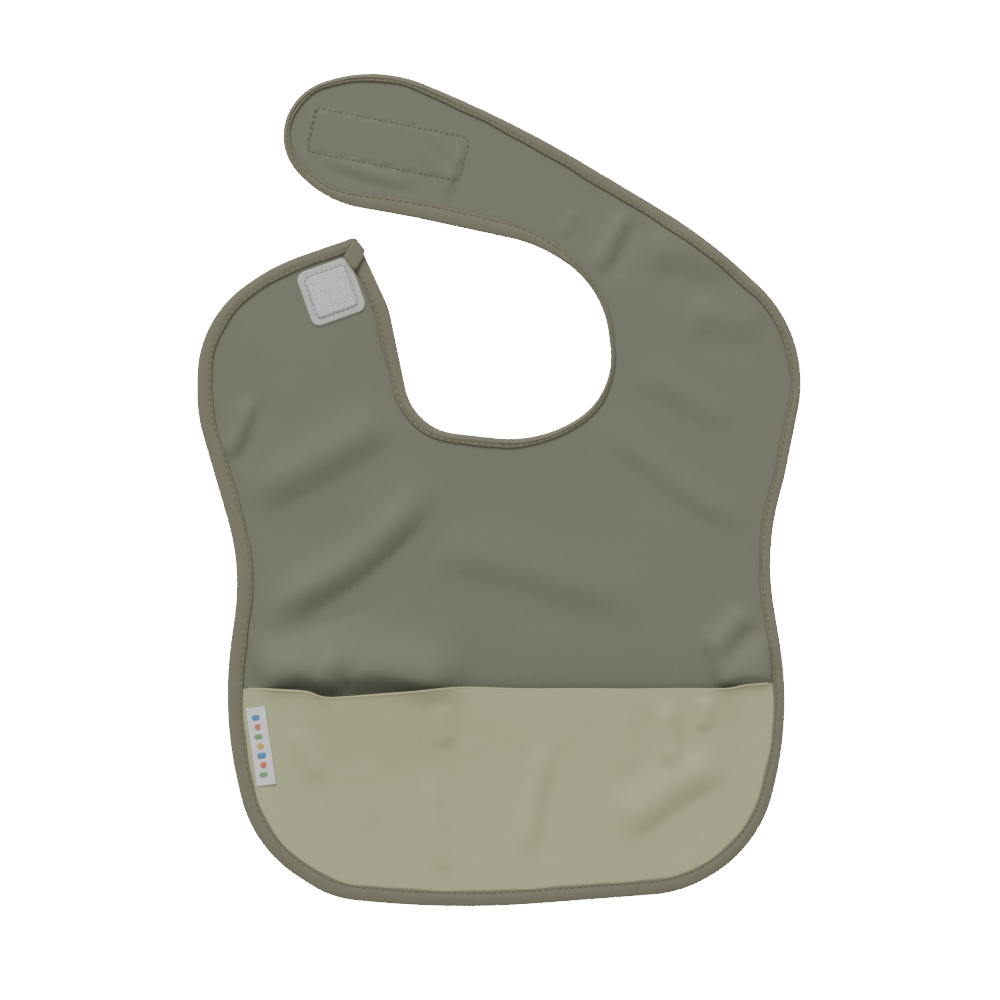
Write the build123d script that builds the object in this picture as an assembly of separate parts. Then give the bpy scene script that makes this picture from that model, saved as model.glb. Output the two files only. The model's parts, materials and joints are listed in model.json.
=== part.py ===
from build123d import *
from math import atan2, cos, degrees, radians, sin, tan
import os

# A baby bib of waterproof fabric, laid open on its back on a table.
#
# Millimetres. The pattern is drawn about the middle of the neck hole: x to the right, y up
# towards the neck strap, z up from the table to the front of the bib. write() then moves
# every piece so that the origin is the bottom centre of the whole bib's box.

# Body, measured from the middle of the neck hole
BODY_LENGTH = 250.5         # down to the lowest point of the hem
HIP_HALF_WIDTH = 125.5
HIP_RISE = 86.5             # widest level of the hips above the hem's lowest point
WAIST_DRAW = 10.5           # how far the waist draws in from the hips
WAIST_LEVEL = 97.0
SHOULDER_FLARE = 10.5       # how far the shoulders stand out past the hips
HEM_CORNER_INSET = 14.0     # how far the hem's corners cut in from the hips
HEM_CORNER_RISE = 27.5
HEM_FLAT_HALF_WIDTH = 77.0

# Neck hole
NECK_HALF_WIDTH = 48.0
NECK_DEPTH = 44.5           # below the middle
NECK_HEIGHT = 44.0          # above the middle

# Strap, which runs from the right shoulder over the top to its rounded end on the left
STRAP_WIDTH = 52.0
STRAP_REACH = 106.0         # left of the middle
STRAP_SHOULDER_RUN = 49.0   # from the bend in the strap's outer edge out to the shoulder's width
STRAP_END_RISE = 60.5       # lower edge of the rounded end above the middle
STRAP_END_WIDTH = 60.5

# Tab, which rises from the left shoulder
TAB_TIP_REACH = 66.0
TAB_TIP_RISE = 45.5
TAB_TIP_RADIUS = 2.0
TAB_EDGE_RUN = 36.0         # along the tab's straight outer edge, from its tip
TAB_EDGE_DROP = 12.5
TAB_BEND = (3.5, 14.0)      # bend in the tab's inner edge, left of and above the neck hole's side

# Levels and widths that follow from those
HIP_LEVEL = BODY_LENGTH - HIP_RISE
WAIST_HALF_WIDTH = HIP_HALF_WIDTH - WAIST_DRAW
SHOULDER_HALF_WIDTH = HIP_HALF_WIDTH + SHOULDER_FLARE

# Fabric layers
PANEL_T = 0.5
POCKET_T = 0.5
BINDING_T = 0.8             # each side of the binding, a folded double layer
BINDING_W = 6.5             # finished width of the binding
THREAD_W = 0.5
THREAD_RISE = 0.2           # how far a seam's thread stands up
THREAD_INSET = 1.2          # thread to the edge of the piece that it sews down
BINDING_END_L = 13.0        # the binding's turned-over end, at the tip of the tab
SEAM_FIT = 0.1              # between pieces of one body, in the plane of the cloth
BODY_GAP = 0.3              # between pieces of different bodies

# Hook-and-loop closure
TAPE_W = 25.0               # the tape's standard width
LOOP_L = 25.0
LOOP_T = 1.5                # to the top of the pile
LOOP_BASE_T = 0.7           # woven base of the tape, bare round the pile
LOOP_CORNER = 4.0
HOOK_L = 75.0
HOOK_T = 0.8
HOOK_CORNER = 5.0
HOOK_START = (17.0, 33.0)   # tape's outer end, right of and above the pattern's corner there
HOOK_TURN = -11.6           # slant of the tape, along the strap's end
TAPE_SEAM_INSET = 2.8       # tape's edge to its box of stitching
TAPE_FIT = 0.3              # between a patch and the binding

# Pocket
POCKET_DEPTH = 97.5         # mouth to the lowest point of the hem
POCKET_BULGE = 9.0          # how far the mouth stands off the bib
STEP_W = 2.0                # length over which the binding climbs onto the pocket

# Label, a folded tag sewn into the left edge of the pocket
LABEL_L = 34.5
LABEL_W = 8.8
LABEL_T = 0.4
LABEL_TOP = 9.0             # below the pocket's mouth
LABEL_GAP = 0.5             # binding to the tag, when the tag stands up
LABEL_ROOM = 1.5            # beyond the tag, to the end of the pocket's flat margin

# Fold lines: the direction of each, with a point that it passes through
TAB_FOLD = ((0.0, 0.0), 202.0)
SHOULDER_FOLD = ((0.0, 0.0), -22.0)
STRAP_FOLD = ((50.0, 42.0), 53.0)
END_FOLD = ((-5.0, 72.0), 75.0)
STRAP_END_PARTING = 144.0   # direction of the gap between the tab and the strap's end

FAR = 600.0                 # beyond the edge of any piece
ARC_SHARE = 0.99            # of one side of the outline that its two corners' arcs may fill

PANEL_Z = BINDING_T
PANEL_TOP = PANEL_Z + PANEL_T
POCKET_TOP = PANEL_TOP + POCKET_T
BINDING_TOP = PANEL_TOP + BINDING_T
POCKET_BINDING_TOP = POCKET_TOP + BINDING_T
MOUTH_Y = POCKET_DEPTH - BODY_LENGTH
LABEL_Y = MOUTH_Y - LABEL_TOP
LABEL_EDGE = BINDING_W + LABEL_GAP + LABEL_T    # edge of the bib to the tag's hinge line
POCKET_SEAM_W = LABEL_EDGE + LABEL_W + LABEL_ROOM


# Pattern outline

def pattern():
    """Corners of the bib's outline, clockwise from the strap's end, with their radii."""
    corner_x = HIP_HALF_WIDTH - HEM_CORNER_INSET
    corner_y = -BODY_LENGTH + HEM_CORNER_RISE
    strap = [
        (49 - STRAP_REACH, STRAP_END_RISE + STRAP_END_WIDTH, 62),
        (2, NECK_HEIGHT + STRAP_WIDTH + 1, 500),
        (SHOULDER_HALF_WIDTH - STRAP_SHOULDER_RUN, NECK_HEIGHT + 2, 245),
    ]
    right_side = [
        (SHOULDER_HALF_WIDTH - 1, 2, 59),
        (WAIST_HALF_WIDTH + 7, 35 - WAIST_LEVEL, 73),
        (WAIST_HALF_WIDTH - 1.5, 5 - WAIST_LEVEL, 115),
        (HIP_HALF_WIDTH, -HIP_LEVEL, 155),
    ]
    hem = [
        (corner_x, corner_y, 58),
        (HEM_FLAT_HALF_WIDTH, 7.5 - BODY_LENGTH, 55),
        (-22, -BODY_LENGTH, 430),
        (-HEM_FLAT_HALF_WIDTH, 5 - BODY_LENGTH, 45),
        (-corner_x, corner_y, 58),
    ]
    left_side = [
        (-HIP_HALF_WIDTH, -HIP_LEVEL, 170),
        (-WAIST_HALF_WIDTH - 1.5, -WAIST_LEVEL - 3, 100),
        (-SHOULDER_HALF_WIDTH, -33, 66),
        (-SHOULDER_HALF_WIDTH, 9, 50),
    ]
    tab = [
        (-TAB_TIP_REACH - TAB_EDGE_RUN, TAB_TIP_RISE - TAB_EDGE_DROP, 88),
        (-TAB_TIP_REACH, TAB_TIP_RISE, TAB_TIP_RADIUS),
        (-NECK_HALF_WIDTH - TAB_BEND[0], TAB_BEND[1], 30),
    ]
    neck = [
        (-NECK_HALF_WIDTH + 7.5, 5.5 - NECK_DEPTH, 25),
        (13, -NECK_DEPTH - 0.5, 55),
        (NECK_HALF_WIDTH, -25, 32),
        (NECK_HALF_WIDTH - 5.5, NECK_HEIGHT - 21.5, 44),
        (14, NECK_HEIGHT - 2, 65),
    ]
    strap_end = [
        (-42, STRAP_END_RISE - 6.5, 290),
        (-STRAP_REACH + 27, STRAP_END_RISE, 48),
        (-STRAP_REACH, STRAP_END_RISE + 27, 24),
        (-STRAP_REACH + 18, STRAP_END_RISE + STRAP_END_WIDTH - 10, 26),
    ]
    return strap + right_side + hem + left_side + tab + neck + strap_end


def inset(corners, distance):
    """The same outline moved inwards, with each corner's arc kept concentric."""
    moved = []
    for i, (x, y, radius) in enumerate(corners):
        here = Vector(x, y)
        before = here - Vector(*corners[i - 1][:2])
        after = Vector(*corners[(i + 1) % len(corners)][:2]) - here
        turn = before.normalized().cross(after.normalized()).Z
        inward_before = Vector(before.Y, -before.X).normalized()
        inward_after = Vector(after.Y, -after.X).normalized()
        half = inward_before + inward_after
        corner = here + half * (2 * distance / half.dot(half))
        # A clockwise turn is an outer corner, whose radius shrinks as it moves in
        kept = radius - distance if turn < 0 else radius + distance
        moved.append((corner.X, corner.Y, max(kept, 0.2)))
    return moved


def limited(corners):
    """The same corners, with a radius cut down where two arcs would overlap on their side."""
    sides = []
    tangents = []
    for i, (x, y, radius) in enumerate(corners):
        here = Vector(x, y)
        before = here - Vector(*corners[i - 1][:2])
        after = Vector(*corners[(i + 1) % len(corners)][:2]) - here
        sides.append(before.length)
        tangents.append(radius * tan(radians(before.get_angle(after)) / 2))
    kept = []
    for i, (x, y, radius) in enumerate(corners):
        follower = (i + 1) % len(corners)
        room_before = ARC_SHARE * sides[i] / (tangents[i - 1] + tangents[i])
        room_after = ARC_SHARE * sides[follower] / (tangents[i] + tangents[follower])
        kept.append((x, y, radius * min(1.0, room_before, room_after)))
    return kept


def outline_face(distance=0.0):
    """The bib's flat shape, drawn in from its edge by a distance."""
    corners = limited(inset(limited(pattern()), distance))
    points = [(x, y) for x, y, radius in corners]
    return make_face(FilletPolyline(*points, radius=[corner[2] for corner in corners], close=True))


def layer(distance, z0, z1):
    """A flat layer of the whole bib between two heights."""
    return Pos(0, 0, z0) * extrude(outline_face(distance), amount=z1 - z0, dir=(0, 0, 1))


def ring(outer, inner, z0, z1):
    """The part of a layer between two distances from the edge."""
    return layer(outer, z0, z1) - layer(inner, z0, z1)


# Zones of the pattern

def zone(points):
    """A tall prism over a polygon."""
    base = make_face(Polyline(*points, close=True))
    return Pos(0, 0, -FAR) * extrude(base, amount=2 * FAR, dir=(0, 0, 1))


def ray(angle, length=FAR):
    """A point that far from the middle of the neck hole."""
    return (length * cos(radians(angle)), length * sin(radians(angle)))


def wedge(start, end):
    """The zone between two directions from the middle of the neck hole, anticlockwise."""
    middle = (start + end) / 2
    return zone([(0, 0), ray(start), ray((start + middle) / 2, 2 * FAR), ray(middle, 2 * FAR),
                 ray((middle + end) / 2, 2 * FAR), ray(end)])


def beyond(fold):
    """The zone to the left of a fold line, looking along its direction."""
    (x, y), angle = fold
    along = Vector(cos(radians(angle)), sin(radians(angle)))
    aside = Vector(-along.Y, along.X)
    start = Vector(x, y) - along * FAR
    end = Vector(x, y) + along * FAR
    return zone([(p.X, p.Y) for p in (start, end, end + aside * FAR, start + aside * FAR)])


def zones():
    """The five stretches of cloth that move as one, by name."""
    upper = wedge(SHOULDER_FOLD[1], STRAP_END_PARTING)
    past_strap_fold = upper & beyond(STRAP_FOLD)
    return {
        "chest": wedge(TAB_FOLD[1], SHOULDER_FOLD[1] + 360),
        "tab": wedge(STRAP_END_PARTING, TAB_FOLD[1]),
        "shoulder": upper - beyond(STRAP_FOLD),
        "strap": past_strap_fold - beyond(END_FOLD),
        "strap_end": past_strap_fold & beyond(END_FOLD),
    }


def level_zone(y0, y1):
    """The zone between two levels of the body."""
    return zone([(-FAR, y0), (FAR, y0), (FAR, y1), (-FAR, y1)])


# Pieces of cloth

def panel():
    """The main sheet of cloth, whole."""
    return layer(BINDING_T + SEAM_FIT, PANEL_Z, PANEL_TOP)


def binding():
    """The folded tape round the whole edge: two sides, and the fold that joins them."""
    below = level_zone(-FAR, MOUTH_Y)
    step = level_zone(MOUTH_Y, MOUTH_Y + STEP_W)
    above = level_zone(MOUTH_Y + STEP_W, FAR)
    back = ring(0, BINDING_W, 0, BINDING_T)
    fold = ring(0, BINDING_T, 0, BINDING_TOP)
    front = ring(0, BINDING_W, PANEL_TOP, BINDING_TOP) & above
    climb = ring(0, BINDING_W, PANEL_TOP, POCKET_BINDING_TOP) & step
    pocket_fold = ring(0, BINDING_T, 0, POCKET_BINDING_TOP) & below
    pocket_front = ring(0, BINDING_W, POCKET_TOP, POCKET_BINDING_TOP) & below
    return back + fold + front + climb + pocket_fold + pocket_front


def binding_thread():
    """The line of stitching along the binding's inner edge, as a thin raised ridge."""
    inner = BINDING_W - THREAD_INSET
    outer = inner - THREAD_W
    high = level_zone(-FAR, MOUTH_Y + STEP_W)
    riser = level_zone(MOUTH_Y + STEP_W, MOUTH_Y + STEP_W + THREAD_W)
    low = level_zone(MOUTH_Y + STEP_W, FAR)
    return (
        (ring(outer, inner, POCKET_BINDING_TOP, POCKET_BINDING_TOP + THREAD_RISE) & high)
        + (ring(outer, inner, BINDING_TOP, POCKET_BINDING_TOP + THREAD_RISE) & riser)
        + (ring(outer, inner, BINDING_TOP, BINDING_TOP + THREAD_RISE) & low)
    )


def part_at(shape, direction):
    """Of a shape's separate solids, the one whose middle lies furthest that way."""
    def reach(solid):
        centre = solid.center()
        return centre.X * direction[0] + centre.Y * direction[1]
    return max(shape.solids(), key=reach)


def binding_end():
    """The turned-over end of the binding, mitred at the tip of the tab."""
    run = TAB_TIP_REACH - NECK_HALF_WIDTH - TAB_BEND[0]
    lean = degrees(atan2(TAB_BEND[1] - TAB_TIP_RISE, run))
    inner_corners = [(BINDING_END_L, -BINDING_W), (BINDING_W, -BINDING_W)]
    shape = Polyline((0, 0), (BINDING_END_L, 0), *inner_corners, close=True)
    plate = extrude(make_face(shape), amount=BINDING_T, dir=(0, 0, 1))
    place = Pos(-TAB_TIP_REACH, TAB_TIP_RISE, BINDING_TOP + THREAD_RISE) * Rot(0, 0, lean)
    return (place * plate) & layer(0, 0, FAR)


# Hook-and-loop closure

def loop_place():
    """Where the loop patch sits: in the corner of the tab's tip, square to its outer edge."""
    turn = degrees(atan2(TAB_EDGE_DROP, TAB_EDGE_RUN))
    room = BINDING_W + TAPE_FIT
    tip = Pos(-TAB_TIP_REACH, TAB_TIP_RISE, 0)
    return tip * Rot(0, 0, turn) * Pos(-room - LOOP_L / 2, -room - TAPE_W / 2, 0)


def hook_place():
    """Where the hook patch sits: under the strap's end, along its length."""
    start = Pos(HOOK_START[0] - STRAP_REACH, HOOK_START[1] + STRAP_END_RISE, 0)
    return start * Rot(0, 0, HOOK_TURN) * Pos(HOOK_L / 2, 0, 0)


def patch(place, length, corner, z0, z1):
    """A patch of tape with rounded corners, trimmed to lie inside the binding."""
    tape = extrude(RectangleRounded(length, TAPE_W, corner), amount=z1 - z0, dir=(0, 0, 1))
    return (place * Pos(0, 0, z0) * tape) & layer(BINDING_W + TAPE_FIT, -FAR, FAR)


def patch_box(length, corner, inset_by):
    """The outline of a patch, drawn in by a distance."""
    reach = length - 2 * inset_by
    return RectangleRounded(reach, TAPE_W - 2 * inset_by, corner - inset_by / 2)


def pile(place, z0, z1):
    """The loop patch's pile, which fills its box of stitching."""
    field = patch_box(LOOP_L, LOOP_CORNER, TAPE_SEAM_INSET + THREAD_W + SEAM_FIT)
    return place * Pos(0, 0, z0) * extrude(field, amount=z1 - z0, dir=(0, 0, 1))


def patch_thread(place, length, corner, z0, z1):
    """The box of stitching that holds a patch, trimmed with it."""
    outer = patch_box(length, corner, TAPE_SEAM_INSET)
    inner = patch_box(length, corner, TAPE_SEAM_INSET + THREAD_W)
    seam = extrude(outer - inner, amount=z1 - z0, dir=(0, 0, 1))
    return (place * Pos(0, 0, z0) * seam) & layer(BINDING_W + TAPE_FIT, -FAR, FAR)


# Pocket

def pocket_margin():
    """The pocket's flat margin, which the binding holds down on three sides."""
    return ring(BINDING_T + SEAM_FIT, POCKET_SEAM_W, PANEL_TOP, POCKET_TOP) & level_zone(-FAR, MOUTH_Y)


def arch(y, half_width, rise):
    """The pocket's cross-section at one level, an arched strip of cloth."""
    lower = ThreePointArc((-half_width, 0), (0, rise), (half_width, 0))
    upper = ThreePointArc((-half_width, POCKET_T), (0, rise + POCKET_T), (half_width, POCKET_T))
    left = Line(lower @ 0, upper @ 0)
    right = Line(lower @ 1, upper @ 1)
    plane = Plane(origin=(0, y, PANEL_TOP), x_dir=(1, 0, 0), z_dir=(0, -1, 0))
    return plane * make_face([lower, right, upper, left])


def pocket_front():
    """The pocket's front, which stands off the bib at the mouth and lies flat at the hem."""
    half_width = HIP_HALF_WIDTH - POCKET_SEAM_W
    hem_y = -BODY_LENGTH + POCKET_SEAM_W
    mouth = arch(MOUTH_Y, half_width, POCKET_BULGE)
    foot = arch(hem_y - STEP_W, half_width, THREAD_RISE)
    sheet = loft([mouth, foot], ruled=True)
    return sheet & layer(POCKET_SEAM_W + BODY_GAP, 0, FAR) & level_zone(-FAR, MOUTH_Y)


# Label

def left_edge(distance, y):
    """The point at one level that lies that far inside the bib's left edge."""
    inside = Line((-FAR, y), (0, y)) & outline_face(distance)
    return Vector(inside.bounding_box().min.X, y)


def label_line():
    """Where the label turns up from the seam: the line's upper end, and its lean in degrees."""
    upper = left_edge(LABEL_EDGE, LABEL_Y)
    lower = left_edge(LABEL_EDGE, LABEL_Y - LABEL_L)
    return upper, degrees(atan2(lower.X - upper.X, upper.Y - lower.Y))


def label():
    """The folded tag, which lies on the pocket."""
    upper, lean = label_line()
    tag = Box(LABEL_W, LABEL_L, LABEL_T, align=(Align.MIN, Align.MAX, Align.MIN))
    return Pos(upper.X, upper.Y, POCKET_TOP + SEAM_FIT) * Rot(0, 0, lean) * tag


# The bib

def bib():
    """Every piece of the bib, by name, about the middle of the neck hole."""
    zone_of = zones()
    sheet = panel()
    tape_round = binding()
    seam = binding_thread()
    pieces = {
        "chest_panel": sheet & zone_of["chest"],
        "tab_panel": sheet & zone_of["tab"],
        "shoulder_panel": sheet & zone_of["shoulder"],
        "strap_panel": sheet & zone_of["strap"],
        "strap_end_panel": sheet & zone_of["strap_end"],
        "tab_binding": tape_round & zone_of["tab"],
        "tab_binding_thread": seam & zone_of["tab"],
        "strap_end_binding": tape_round & zone_of["strap_end"],
        "strap_end_binding_thread": seam & zone_of["strap_end"],
    }
    edges = {
        "chest": ((0, -1), (0, 1)),
        "shoulder": ((1, 0), (-1, 0)),
        "strap": ((0, 1), (0, -1)),
    }
    for name, (outwards, inwards) in edges.items():
        bound = tape_round & zone_of[name]
        sewn = seam & zone_of[name]
        pieces[name + "_outer_binding"] = part_at(bound, outwards)
        pieces[name + "_neck_binding"] = part_at(bound, inwards)
        pieces[name + "_outer_binding_thread"] = part_at(sewn, outwards)
        pieces[name + "_neck_binding_thread"] = part_at(sewn, inwards)
    pieces["binding_end"] = binding_end()
    base_top = PANEL_TOP + LOOP_BASE_T
    loop_base = patch(loop_place(), LOOP_L, LOOP_CORNER, PANEL_TOP, base_top)
    pieces["loop_patch"] = loop_base + pile(loop_place(), base_top, PANEL_TOP + LOOP_T)
    pieces["loop_patch_thread"] = patch_thread(
        loop_place(), LOOP_L, LOOP_CORNER, base_top, base_top + THREAD_RISE)
    pieces["hook_patch"] = patch(hook_place(), HOOK_L, HOOK_CORNER, PANEL_Z - HOOK_T, PANEL_Z)
    pieces["hook_patch_thread"] = patch_thread(
        hook_place(), HOOK_L, HOOK_CORNER, PANEL_TOP, PANEL_TOP + THREAD_RISE)
    pieces["pocket_margin"] = pocket_margin()
    pieces["pocket_front"] = pocket_front()
    pieces["label_tag"] = label()
    return pieces


def placement():
    """The move that puts the origin at the bottom centre of the whole bib."""
    box = outline_face().bounding_box()
    lowest = min(0.0, PANEL_Z - HOOK_T)
    return Pos(-box.center().X, -box.center().Y, -lowest)


def write(pieces):
    """Save each piece as its own file."""
    os.makedirs("parts", exist_ok=True)
    move = placement()
    for name, shape in pieces.items():
        export_step(move * shape, os.path.join("parts", name + ".step"))


if __name__ == "__main__":
    write(bib())
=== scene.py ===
import json
import logging
import math
from collections.abc import Callable
from dataclasses import dataclass, field
from enum import Enum

import bmesh
import bpy
import numpy as np
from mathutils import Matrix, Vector
from mathutils.geometry import delaunay_2d_cdt


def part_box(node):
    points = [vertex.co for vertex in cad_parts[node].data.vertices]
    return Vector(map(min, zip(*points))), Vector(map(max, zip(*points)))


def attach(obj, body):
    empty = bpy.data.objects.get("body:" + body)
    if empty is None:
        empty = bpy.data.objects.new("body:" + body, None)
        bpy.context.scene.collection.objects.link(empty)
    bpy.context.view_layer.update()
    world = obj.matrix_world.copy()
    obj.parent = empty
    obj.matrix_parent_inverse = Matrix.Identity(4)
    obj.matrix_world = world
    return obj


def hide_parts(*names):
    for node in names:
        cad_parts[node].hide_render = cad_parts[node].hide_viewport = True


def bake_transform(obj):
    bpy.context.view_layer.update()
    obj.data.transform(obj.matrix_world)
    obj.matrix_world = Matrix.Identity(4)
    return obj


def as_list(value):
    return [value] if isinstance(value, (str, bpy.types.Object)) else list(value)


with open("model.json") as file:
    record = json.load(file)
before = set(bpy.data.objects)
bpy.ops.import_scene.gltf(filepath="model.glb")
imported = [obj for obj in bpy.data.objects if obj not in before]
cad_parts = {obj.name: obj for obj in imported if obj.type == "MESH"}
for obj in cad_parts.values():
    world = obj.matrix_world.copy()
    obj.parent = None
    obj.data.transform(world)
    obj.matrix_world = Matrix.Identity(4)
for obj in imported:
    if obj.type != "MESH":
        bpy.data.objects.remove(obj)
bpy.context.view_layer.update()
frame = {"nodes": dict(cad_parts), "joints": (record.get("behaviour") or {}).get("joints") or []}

log = logging.getLogger("bib")
MM = 0.001
SLOPE_STEP = 0.4  # for finding how steep the cloth is
Points = np.ndarray


def joint(name: str) -> dict:
    """One joint of the frame."""
    return next(j for j in frame["joints"] if j["name"] == name)


class Part(Enum):
    """The four lengths in which the sheet, its binding and its seam are made, each with one fold."""

    LEFT = "left"
    RIGHT = "right"
    STRAP = "strap"
    STRAP_END = "strap_end"


@dataclass(frozen=True)
class Fold:
    """A fold that a length of cloth takes, between two bodies of the frame."""

    joint: str
    before: str
    after: str
    aside: float

    def apply(self, obj: bpy.types.Object) -> bpy.types.Object:
        """Bake a piece's placement into its mesh; the piece is not bent about this fold.

        Args:
            obj: a mesh piece with no parent.
        Returns:
            The same piece.
        """
        middle = np.array(joint(self.joint)["pos_m"], float)
        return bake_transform(obj)


FOLDS = {
    Part.LEFT: Fold("tab_fold", "chest", "tab", 112.0),
    Part.RIGHT: Fold("shoulder_fold", "chest", "shoulder", 68.0),
    Part.STRAP: Fold("strap_fold", "shoulder", "strap", 143.0),
    Part.STRAP_END: Fold("strap_end_fold", "strap", "strap_end", 165.0),
}


# ---------------------------------------------------------------- shapes in the plane, in mm


def ease(t: Points) -> Points:
    """A share from 0 to 1 that starts and stops gently."""
    return t * t * (3 - 2 * t)


def smooth(values: Points, passes: int) -> Points:
    """Even out a closed run of values or points with a small kernel.

    Args:
        values: the closed run.
        passes: how often the kernel is applied.
    Returns:
        The evened run.
    """
    for _ in range(passes):
        values = 0.5 * values + 0.25 * (np.roll(values, 1, 0) + np.roll(values, -1, 0))
    return values


def walk(points: Points, step: float, closed: bool) -> Points:
    """Points spaced evenly along a polyline.

    Args:
        points: the polyline's corners.
        step: the spacing aimed at.
        closed: whether the last corner joins the first.
    Returns:
        The new points, without a repeat of the first one if closed.
    """
    path = np.vstack([points, points[:1]]) if closed else np.asarray(points, float)
    lengths = np.linalg.norm(np.diff(path, axis=0), axis=1)
    along = np.concatenate([[0.0], np.cumsum(lengths)])
    count = max(int(round(along[-1] / step)), 2)
    at = np.linspace(0.0, along[-1], count + 1)
    if closed:
        at = at[:-1]
    return np.column_stack([np.interp(at, along, path[:, k]) for k in range(path.shape[1])])


def curve(points: list[tuple[float, float]], step: float = 1.0) -> Points:
    """A smooth open curve through a few points, evenly spaced.

    Args:
        points: the points to go through.
        step: the spacing aimed at.
    Returns:
        Points along the curve.
    """
    p = np.array(points, float)
    ends = np.vstack([2 * p[0] - p[1], p, 2 * p[-1] - p[-2]])
    found = []
    for i in range(1, len(ends) - 2):
        a, b, c, d = ends[i - 1 : i + 3]
        for t in np.linspace(0, 1, 12, endpoint=False):
            square = (2 * a - 5 * b + 4 * c - d) * t**2
            cube = (3 * b - a - 3 * c + d) * t**3
            found.append(0.5 * (2 * b + (c - a) * t + square + cube))
    found.append(p[-1])
    return walk(np.array(found), step, False)


def rounded_box(length: float, width: float, radius: float, step: float = 0.5) -> Points:
    """The outline of a rectangle with round corners, anticlockwise about the origin.

    Args:
        length: its size along x.
        width: its size along y.
        radius: of its corners.
        step: the spacing aimed at.
    Returns:
        Points round the outline.
    """
    corners = []
    for cx, cy, start in ((1, 1, 0), (-1, 1, 90), (-1, -1, 180), (1, -1, 270)):
        for angle in np.radians(np.linspace(start, start + 90, 9)):
            x = cx * (length / 2 - radius) + radius * math.cos(angle)
            y = cy * (width / 2 - radius) + radius * math.sin(angle)
            corners.append((x, y))
    return walk(np.array(corners), step, True)


def turned(points: Points, degrees: float, centre: tuple[float, float]) -> Points:
    """Points turned about the origin and then moved to a centre.

    Args:
        points: places about the origin.
        degrees: the turn, anticlockwise.
        centre: where the origin goes.
    Returns:
        The placed points.
    """
    a = math.radians(degrees)
    x = points[:, 0] * math.cos(a) - points[:, 1] * math.sin(a) + centre[0]
    y = points[:, 0] * math.sin(a) + points[:, 1] * math.cos(a) + centre[1]
    return np.column_stack([x, y])


def inward(points: Points) -> Points:
    """Unit normals of a clockwise closed outline, towards its inside.

    Args:
        points: the outline.
    Returns:
        A normal for each point.
    """
    along = np.roll(points, -1, 0) - np.roll(points, 1, 0)
    along /= np.maximum(np.linalg.norm(along, axis=1, keepdims=True), 1e-9)
    return np.column_stack([along[:, 1], -along[:, 0]])


def area_of(points: Points) -> float:
    """Signed area of a closed outline, positive if anticlockwise."""
    x, y = points[:, 0], points[:, 1]
    return 0.5 * float(np.sum(x * np.roll(y, -1) - np.roll(x, -1) * y))


def inside(points: Points, outline: Points) -> Points:
    """Which of the points lie inside a closed outline.

    Args:
        points: the points to test.
        outline: the closed outline.
    Returns:
        True for each point that is inside.
    """
    a, b = outline, np.roll(outline, -1, 0)
    found = np.zeros(len(points), bool)
    for start in range(0, len(points), 4000):
        p = points[start : start + 4000]
        straddles = (a[None, :, 1] > p[:, None, 1]) != (b[None, :, 1] > p[:, None, 1])
        rise = np.where(b[:, 1] == a[:, 1], 1e-9, b[:, 1] - a[:, 1])
        cross = a[None, :, 0] + (p[:, None, 1] - a[None, :, 1]) * ((b - a)[:, 0] / rise)[None, :]
        found[start : start + 4000] = (straddles & (p[:, None, 0] < cross)).sum(1) % 2 == 1
    return found


def distances(points: Points, path: Points) -> tuple[Points, Points]:
    """Distance of points to a polyline.

    Args:
        points: the points to measure from.
        path: the polyline's corners.
    Returns:
        The distance, positive on the left of the path, and the share of the path's length that
        is reached there.
    """
    best = np.full(len(points), 1e9)
    side = np.zeros(len(points))
    share = np.zeros(len(points))
    stretches = max(len(path) - 1, 2)
    for i in range(len(path) - 1):
        a, d = path[i], path[i + 1] - path[i]
        t = np.clip(((points - a) @ d) / max(float(d @ d), 1e-12), 0, 1)
        off = points - (a + t[:, None] * d)
        length = np.hypot(off[:, 0], off[:, 1])
        nearer = length < best
        best = np.where(nearer, length, best)
        cross = d[0] * off[:, 1] - d[1] * off[:, 0]
        side = np.where(nearer, np.sign(cross), side)
        share = np.where(nearer, (i + t) / stretches, share)
    return best * np.where(side == 0, 1, side), share


# ---------------------------------------------------------------- meshes


def piece(
    name: str, verts: Points, faces: list, finishes: list, normals: Points | None = None
) -> bpy.types.Object:
    """A mesh object in the row frame.

    Args:
        name: the piece's name.
        verts: corners in mm.
        faces: tuples of corner indices.
        finishes: its materials.
        normals: a normal for each corner, where a cut must not show.
    Returns:
        The object, shaded smooth.
    """
    mesh = bpy.data.meshes.new(name)
    mesh.from_pydata((np.asarray(verts, float) * MM).tolist(), [], [tuple(int(i) for i in f) for f in faces])
    mesh.validate()
    mesh.update()
    for finish in finishes:
        mesh.materials.append(finish)
    mesh.polygons.foreach_set("use_smooth", np.ones(len(mesh.polygons), bool))
    if normals is not None:
        mesh.normals_split_custom_set_from_vertices(np.asarray(normals, float).tolist())
    obj = bpy.data.objects.new(name, mesh)
    bpy.context.scene.collection.objects.link(obj)
    return obj


def sharpen(obj: bpy.types.Object, degrees: float) -> None:
    """Mark edges that turn by more than an angle as sharp.

    Args:
        obj: a mesh piece.
        degrees: the largest turn that stays smooth.
    """
    made = bmesh.new()
    made.from_mesh(obj.data)
    for edge in made.edges:
        edge.smooth = len(edge.link_faces) == 2 and edge.calc_face_angle(0) < math.radians(degrees)
    made.to_mesh(obj.data)
    made.free()


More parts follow.
